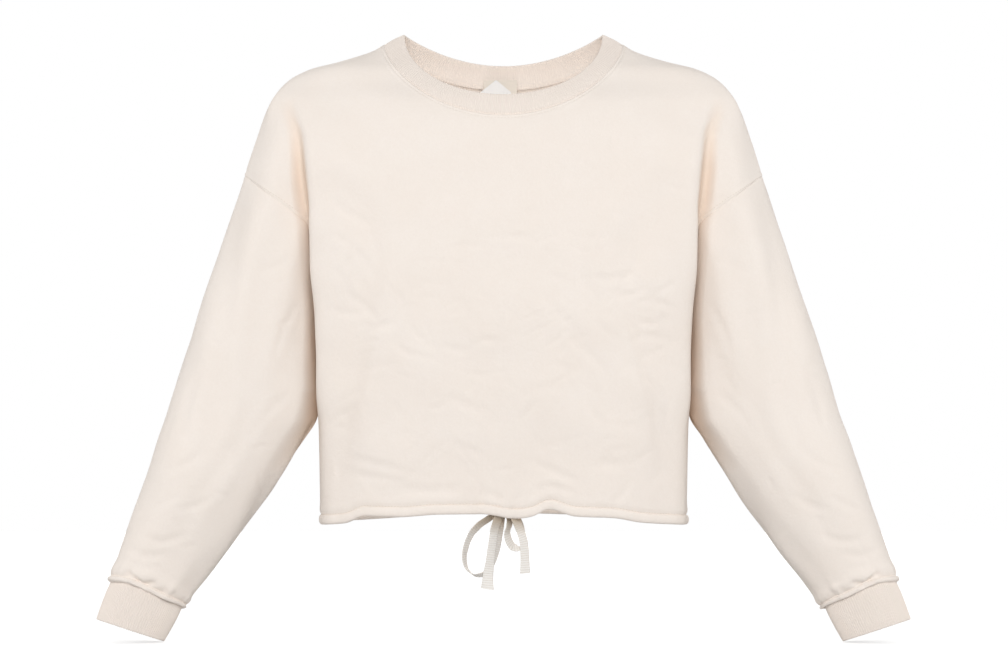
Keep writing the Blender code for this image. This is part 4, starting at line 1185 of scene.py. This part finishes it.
# ribs keep an even pitch along the seam
length = lengths_along(np.concatenate([seam, seam[:1]]))
neck_ribs = int(round(length[-1] / NECK_RIB / 4)) * 4
even = np.arange(neck_ribs * RIB_COLUMNS) / (neck_ribs * RIB_COLUMNS) * length[-1]
seam, free = (np.stack([np.interp(even, length, np.append(line[:, k], line[0, k]))
                        for k in range(3)], -1) for line in (seam, free))
outside = []
for v in np.concatenate([[-0.16, -0.08, 0, 0.03, 0.08], np.linspace(0.15, 1, 10)]):
    row = seam + (free - seam) * v
    out = unit(row * [1, 1, 0])
    tuck = 0.7 * math.exp(-(v / 0.05) ** 2) if v > 0 else 0.7 - 8 * v
    outside.append(row + out * (BAND_BULGE * math.sin(math.pi * max(v, 0)) - tuck))
neckband = ribbed("neckband_rib", np.array(outside), 0.42, thin=3)
fits(neckband, "neckband")

# ---------------------------------------------------------------------------------------
# Hem casing. The bottom of each panel is turned up 10 mm to make a soft channel for the
# drawstring, which draws it in a little and leaves it uneven.
CASING_HIGH, CASING_THICK, CASING_ROUND = 9.7, 6.2, 25.0
CASING_PROUD, CASING_LAP = 2.6, 0.5   # how far it stands out past the panel, and laps over it
CASING_SIDES = 18


def make_casing(which, grid, flat, seed, bow):
    """The turned-up hem of one panel: a soft tube under the whole of its bottom edge."""
    edge = grid[0]
    out = unit(facings(grid)[0] * [1, 1, 0])
    across = flat[0, :, 0]
    level = np.stack([across, across * 0], -1)
    # the channel's slow unevenness, and the small lumps that its tape makes near the bow
    plump = 1 + 0.06 * ripples(level, 22, seed)
    lump = 0.35 * ripples(level, 9, seed + 1) * (0.5 + np.exp(-((across - bow) / 36) ** 2))
    rows = []
    for a in np.arange(CASING_SIDES) * 2 * math.pi / CASING_SIDES:
        side, drop = math.sin(a), math.cos(a)
        side = math.copysign(abs(side) ** 0.9, side) * CASING_THICK / 2
        drop = (1 - math.copysign(abs(drop) ** 0.8, drop)) / 2 * CASING_HIGH
        shape = side * plump + (lump if side > 0 else 0)
        row = edge + out * (shape - CASING_THICK / 2 + CASING_PROUD)[:, None]
        row[:, 2] -= drop - CASING_LAP
        rows.append(row)
    # sections run round the channel; turn them so that rows go up
    strip = np.array(rows)[::-1]
    around = np.arange(CASING_SIDES + 1) * CASING_ROUND / CASING_SIDES
    place = np.stack(np.broadcast_arrays(across[None], around[:, None]), -1)
    thing = weave("hem_casing_" + which + "_cloth", strip * MM, place * MM, jersey, closed=True)
    bpy.context.view_layer.objects.active = thing
    thing.select_set(True)
    bpy.ops.object.mode_set(mode="EDIT")
    bpy.ops.mesh.select_all(action="DESELECT")
    bpy.ops.mesh.select_non_manifold()
    bpy.ops.mesh.edge_face_add()
    bpy.ops.object.mode_set(mode="OBJECT")
    smooth(thing)
    fits(thing, "hem_casing_" + which)
    return thing


front_casing = make_casing("front", front_grid, front_flat, 51, BOW)
back_casing = make_casing("back", back_grid, back_flat, 61, NO_BOW)

# ---------------------------------------------------------------------------------------
# Labels. A folded white woven label with a pointed top hangs inside the back of the neck,
# in front of a small pale tab; both are bare.
LABEL_WHITE, LABEL_LINE = (0.88, 0.88, 0.875), (0.80, 0.795, 0.79)
TAB_CREAM, TAB_LINE = (0.80, 0.745, 0.67), (0.74, 0.68, 0.60)
label_finish = Finish("woven_label", 0.7, sheen=0.05)
weave_line = label_finish.flat(1).wave(0.0006)
label_finish.coloured(label_finish.blend(weave_line * 0.5, LABEL_WHITE, LABEL_LINE))
label_finish.raised(weave_line * label_finish.flat(0).wave(0.0005), 0.00005)
tab_finish = Finish("pale_tab", 0.75, sheen=0.05)
tab_line = tab_finish.flat(1).wave(0.0007)
tab_finish.coloured(tab_finish.blend(tab_line * 0.5, TAB_CREAM, TAB_LINE))
tab_finish.raised(tab_line, 0.00005)


def hang_label(node, outline, finish, curl):
    """A woven label from its outline, with a slight curl and thickness."""
    low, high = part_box(node)
    bpy.ops.mesh.primitive_grid_add(x_subdivisions=24, y_subdivisions=28, size=2)
    thing = bpy.context.object
    thing.name = thing.data.name = node + "_woven"
    outline = np.array(outline, float) * MM
    thick = high.y - low.y
    for vertex in thing.data.vertices:
        u, v = (vertex.co.x + 1) / 2, (vertex.co.y + 1) / 2
        # the outline's bottom edge, and its top edge at this share of the width
        bottom = outline[0] + (outline[1] - outline[0]) * u
        top = np.array([bottom[0], np.interp(bottom[0], *outline[:1:-1].T)])
        x, z = bottom + (top - bottom) * v
        y = low.y + curl * MM * (0.5 - 0.5 * math.cos(2 * math.pi * u)) * (1 - v)
        vertex.co = (x, y, z)
    thing.data.uv_layers[0].name = "flat_cloth"
    for loop, corner in zip(thing.data.loops, thing.data.uv_layers[0].data):
        spot = thing.data.vertices[loop.vertex_index].co
        corner.uv = (spot.x, spot.z)
    thing.data.materials.append(finish.material)
    wall = thing.modifiers.new("thickness", "SOLIDIFY")
    wall.thickness, wall.offset = thick * 0.8, 1
    bpy.ops.object.modifier_apply(modifier="thickness")
    smooth(thing, 40)
    fits(thing, node)
    return thing


tab = hang_label("size_tab", [(-20, -63), (13.5, -63), (13.5, -33), (-20, -33)],
                 tab_finish, -0.3)
label = hang_label("neck_label", [(-23.3, -71), (7.6, -71), (7.6, -45), (-7.5, -32.7),
                                  (-23.3, -45)], label_finish, -1.2)

# ---------------------------------------------------------------------------------------
# Stitching. Cream thread: one line round the neck, one at each armhole, one over each cuff
# and one along the hem, each stitch lying a little into the cloth.
STITCH_LONG, STITCH_STEP, THREAD = 2.5, 3.3, 0.30
# How far the line lies above the casing, and how far up the sleeve from its cuff.
HEM_SEWN, CUFF_SEWN = 1.6, 5.9
THREAD_DEEP, THREAD_CREAM = (0.75, 0.665, 0.58), (0.83, 0.75, 0.665)
thread = Finish("cream_thread", 0.7)
thread.coloured(thread.blend(thread.noise(0.001, 1), THREAD_DEEP, THREAD_CREAM))
bpy.ops.mesh.primitive_uv_sphere_add(segments=6, ring_count=5, radius=1.0)
stitch_start = bpy.context.object
one_stitch = np.array([v.co for v in stitch_start.data.vertices])
stitch_faces = [list(p.vertices) for p in stitch_start.data.polygons]
bpy.data.objects.remove(stitch_start)
surface_trees = {}


def nearest_on(name, grid, normals, points):
    """Moves points on to a finished piece of cloth, and gives the cloth's direction there."""
    if name not in surface_trees:
        tree = kdtree.KDTree(grid.shape[0] * grid.shape[1])
        for k, p in enumerate(grid.reshape(-1, 3)):
            tree.insert(p, k)
        tree.balance()
        surface_trees[name] = tree
    found = np.array([surface_trees[name].find(p)[1] for p in points])
    spot, out = grid.reshape(-1, 3)[found], normals.reshape(-1, 3)[found]
    return points - out * ((points - spot) * out).sum(1, keepdims=True), out


def stitch(name, lines):
    """Stitches along lines on the cloth, all as one piece; each line is points and facings."""
    points, faces = [], []
    for line, out in lines:
        length = lengths_along(line)
        count = int(length[-1] / STITCH_STEP)
        for k in range(count):
            ends = [length[-1] / count * (k + 0.5) + s * STITCH_LONG / 2 for s in (-1, 1)]
            a, b = (np.array([np.interp(e, length, line[:, i]) for i in range(3)]) for e in ends)
            middle = int(np.searchsorted(length, (ends[0] + ends[1]) / 2))
            up = out[min(middle, len(out) - 1)]
            along = unit(b - a)
            side = unit(np.cross(along, up))
            up = np.cross(side, along)
            base = len(points) * len(one_stitch)
            shape = ((a + b) / 2 + one_stitch[:, 2:3] * along * STITCH_LONG / 2
                     + one_stitch[:, 0:1] * side * THREAD + one_stitch[:, 1:2] * up * THREAD * 0.8
                     - up * 0.1)
            points.append(shape)
            faces += [[base + i for i in face] for face in stitch_faces]
    mesh = bpy.data.meshes.new(name)
    mesh.from_pydata((np.concatenate(points) * MM).tolist(), [], faces)
    mesh.materials.append(thread.material)
    thing = bpy.data.objects.new(name, mesh)
    bpy.context.collection.objects.link(thing)
    smooth(thing, 80)
    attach(thing, "root")
    return thing


finished = {"front": (front_grid, facings(front_grid)), "back": (back_grid, facings(back_grid))}


def body_line(which, flat, sign):
    grid, normals = finished[which]
    return nearest_on(which, grid, normals, on_body(which, flat, sign))


lines = {"front": [], "back": []}
for which in HALVES:
    for sign in (-1, 1):
        neck = neck_line(which, grow=NECK_SEWN, count=300)
        lines[which].append(body_line(which, neck, sign))
        arm = armhole_line(which, np.linspace(0.02, 0.995, 400)) - [ARMHOLE_SEWN, 0]
        lines[which].append(body_line(which, arm, sign))
    grid, normals = finished[which]
    edge = grid[0] + [0, 0, HEM_SEWN]
    lines[which].append(nearest_on(which, grid, normals, edge))
front_stitching = stitch("front_stitching", lines["front"])
back_stitching = stitch("back_stitching", lines["back"])
for word, (grid, normals) in sleeves.items():
    to_cuff = sleeve_length[-1] - sleeve_length[::-1]
    row = int(np.argmin(np.abs(to_cuff - CUFF_SEWN)))
    ring = np.concatenate([grid[row], grid[row, :1]])
    out = np.concatenate([normals[row], normals[row, :1]])
    stitch("sleeve_" + word + "_stitching", [(ring, out)])

# ---------------------------------------------------------------------------------------
# Each sleeve and its cuff, looked up by name; nothing more is done with them.
for word in ("left", "right"):
    bpy.data.objects["sleeve_" + word + "_cloth"]
    bpy.data.objects["cuff_" + word + "_rib"]
    "sleeve_" + word + "_cloth"

# ---------------------------------------------------------------------------------------
# Floor, light and backdrop: a plain white floor just under the cuffs and an even, soft
# light from all round, a little stronger from the front and above.
FLOOR_GAP, FLOOR_SIZE = 0.0005, 5
FLOOR_GREY, FLOOR_GLOW, WORLD_LIGHT = 0.6, 0.58, 0.40
floor_z = cad_low.z - FLOOR_GAP
bpy.ops.mesh.primitive_plane_add(size=FLOOR_SIZE, location=(0, 0, 0))
floor = bpy.context.object
floor.name = "floor"
for vertex in floor.data.vertices:
    vertex.co.z = floor_z
floor_finish = Finish("white_floor", 1.0)
floor_finish.coloured((FLOOR_GREY, FLOOR_GREY, FLOOR_GREY, 1))


def seen_white(nodes):
    """1 where a surface is looked at, straight or in a gloss, and 0 where it gives light."""
    seen = nodes.node("ShaderNodeLightPath", output="Is Camera Ray")
    for ray in ("Is Glossy Ray", "Is Transmission Ray"):
        seen = seen.maths("MAXIMUM", nodes.node("ShaderNodeLightPath", output=ray))
    return seen


glow = floor_finish.node("ShaderNodeEmission", inputs={
    "Strength": seen_white(floor_finish) * FLOOR_GLOW})
both = floor_finish.node("ShaderNodeAddShader", inputs={
    0: Shade(floor_finish, floor_finish.shader.outputs[0]), 1: glow})
floor_finish.feed(floor_finish.tree.nodes["Material Output"].inputs["Surface"], both)
floor.data.materials.append(floor_finish.material)

world = bpy.data.worlds.new("studio")
bpy.context.scene.world = world
world.use_nodes = True
studio = Nodes(world.node_tree)
backdrop = studio.node("ShaderNodeBackground", inputs={"Color": (1, 1, 1, 1), "Strength": 1})
around = studio.node("ShaderNodeBackground", inputs={"Color": (1, 0.995, 0.985, 1),
                                                     "Strength": WORLD_LIGHT})
studio.feed(studio.tree.nodes["World Output"].inputs["Surface"],
            studio.node("ShaderNodeMixShader",
                        inputs={0: seen_white(studio), 1: around, 2: backdrop}))

GARMENT_MIDDLE = Vector((0, 0, -0.28))


def lamp(name, place, size, watts):
    """A round soft lamp of this size that faces the garment."""
    bpy.ops.object.light_add(type="AREA", location=place)
    thing = bpy.context.object
    thing.name = name
    thing.data.shape = "DISK"
    thing.data.size = size
    thing.data.energy = watts
    thing.rotation_mode = "QUATERNION"
    thing.rotation_quaternion = (GARMENT_MIDDLE - Vector(place)).to_track_quat("-Z", "Y")


lamp("front_light", (0.0, -4.5, 1.2), 2.4, 126)
lamp("back_light", (0.0, 4.5, 1.2), 2.4, 96)
lamp("left_light", (2.5, -0.05, 0.1), 1.6, 12.5)
lamp("right_light", (-2.5, -0.05, 0.1), 1.6, 12.5)

# small fills inside the garment keep the inside of the neck and of the back hem bright
for name, place, watts in (("neck_fill", (0, -0.02, -0.13), 0.05),
                           ("hem_fill", (0, 0.0, -0.37), 0.22)):
    bpy.ops.object.light_add(type="POINT", location=place)
    fill = bpy.context.object
    fill.name = name
    fill.data.energy = watts
    fill.data.shadow_soft_size = 0.03
    fill.visible_camera = False

bpy.context.scene.view_settings.view_transform = "Standard"
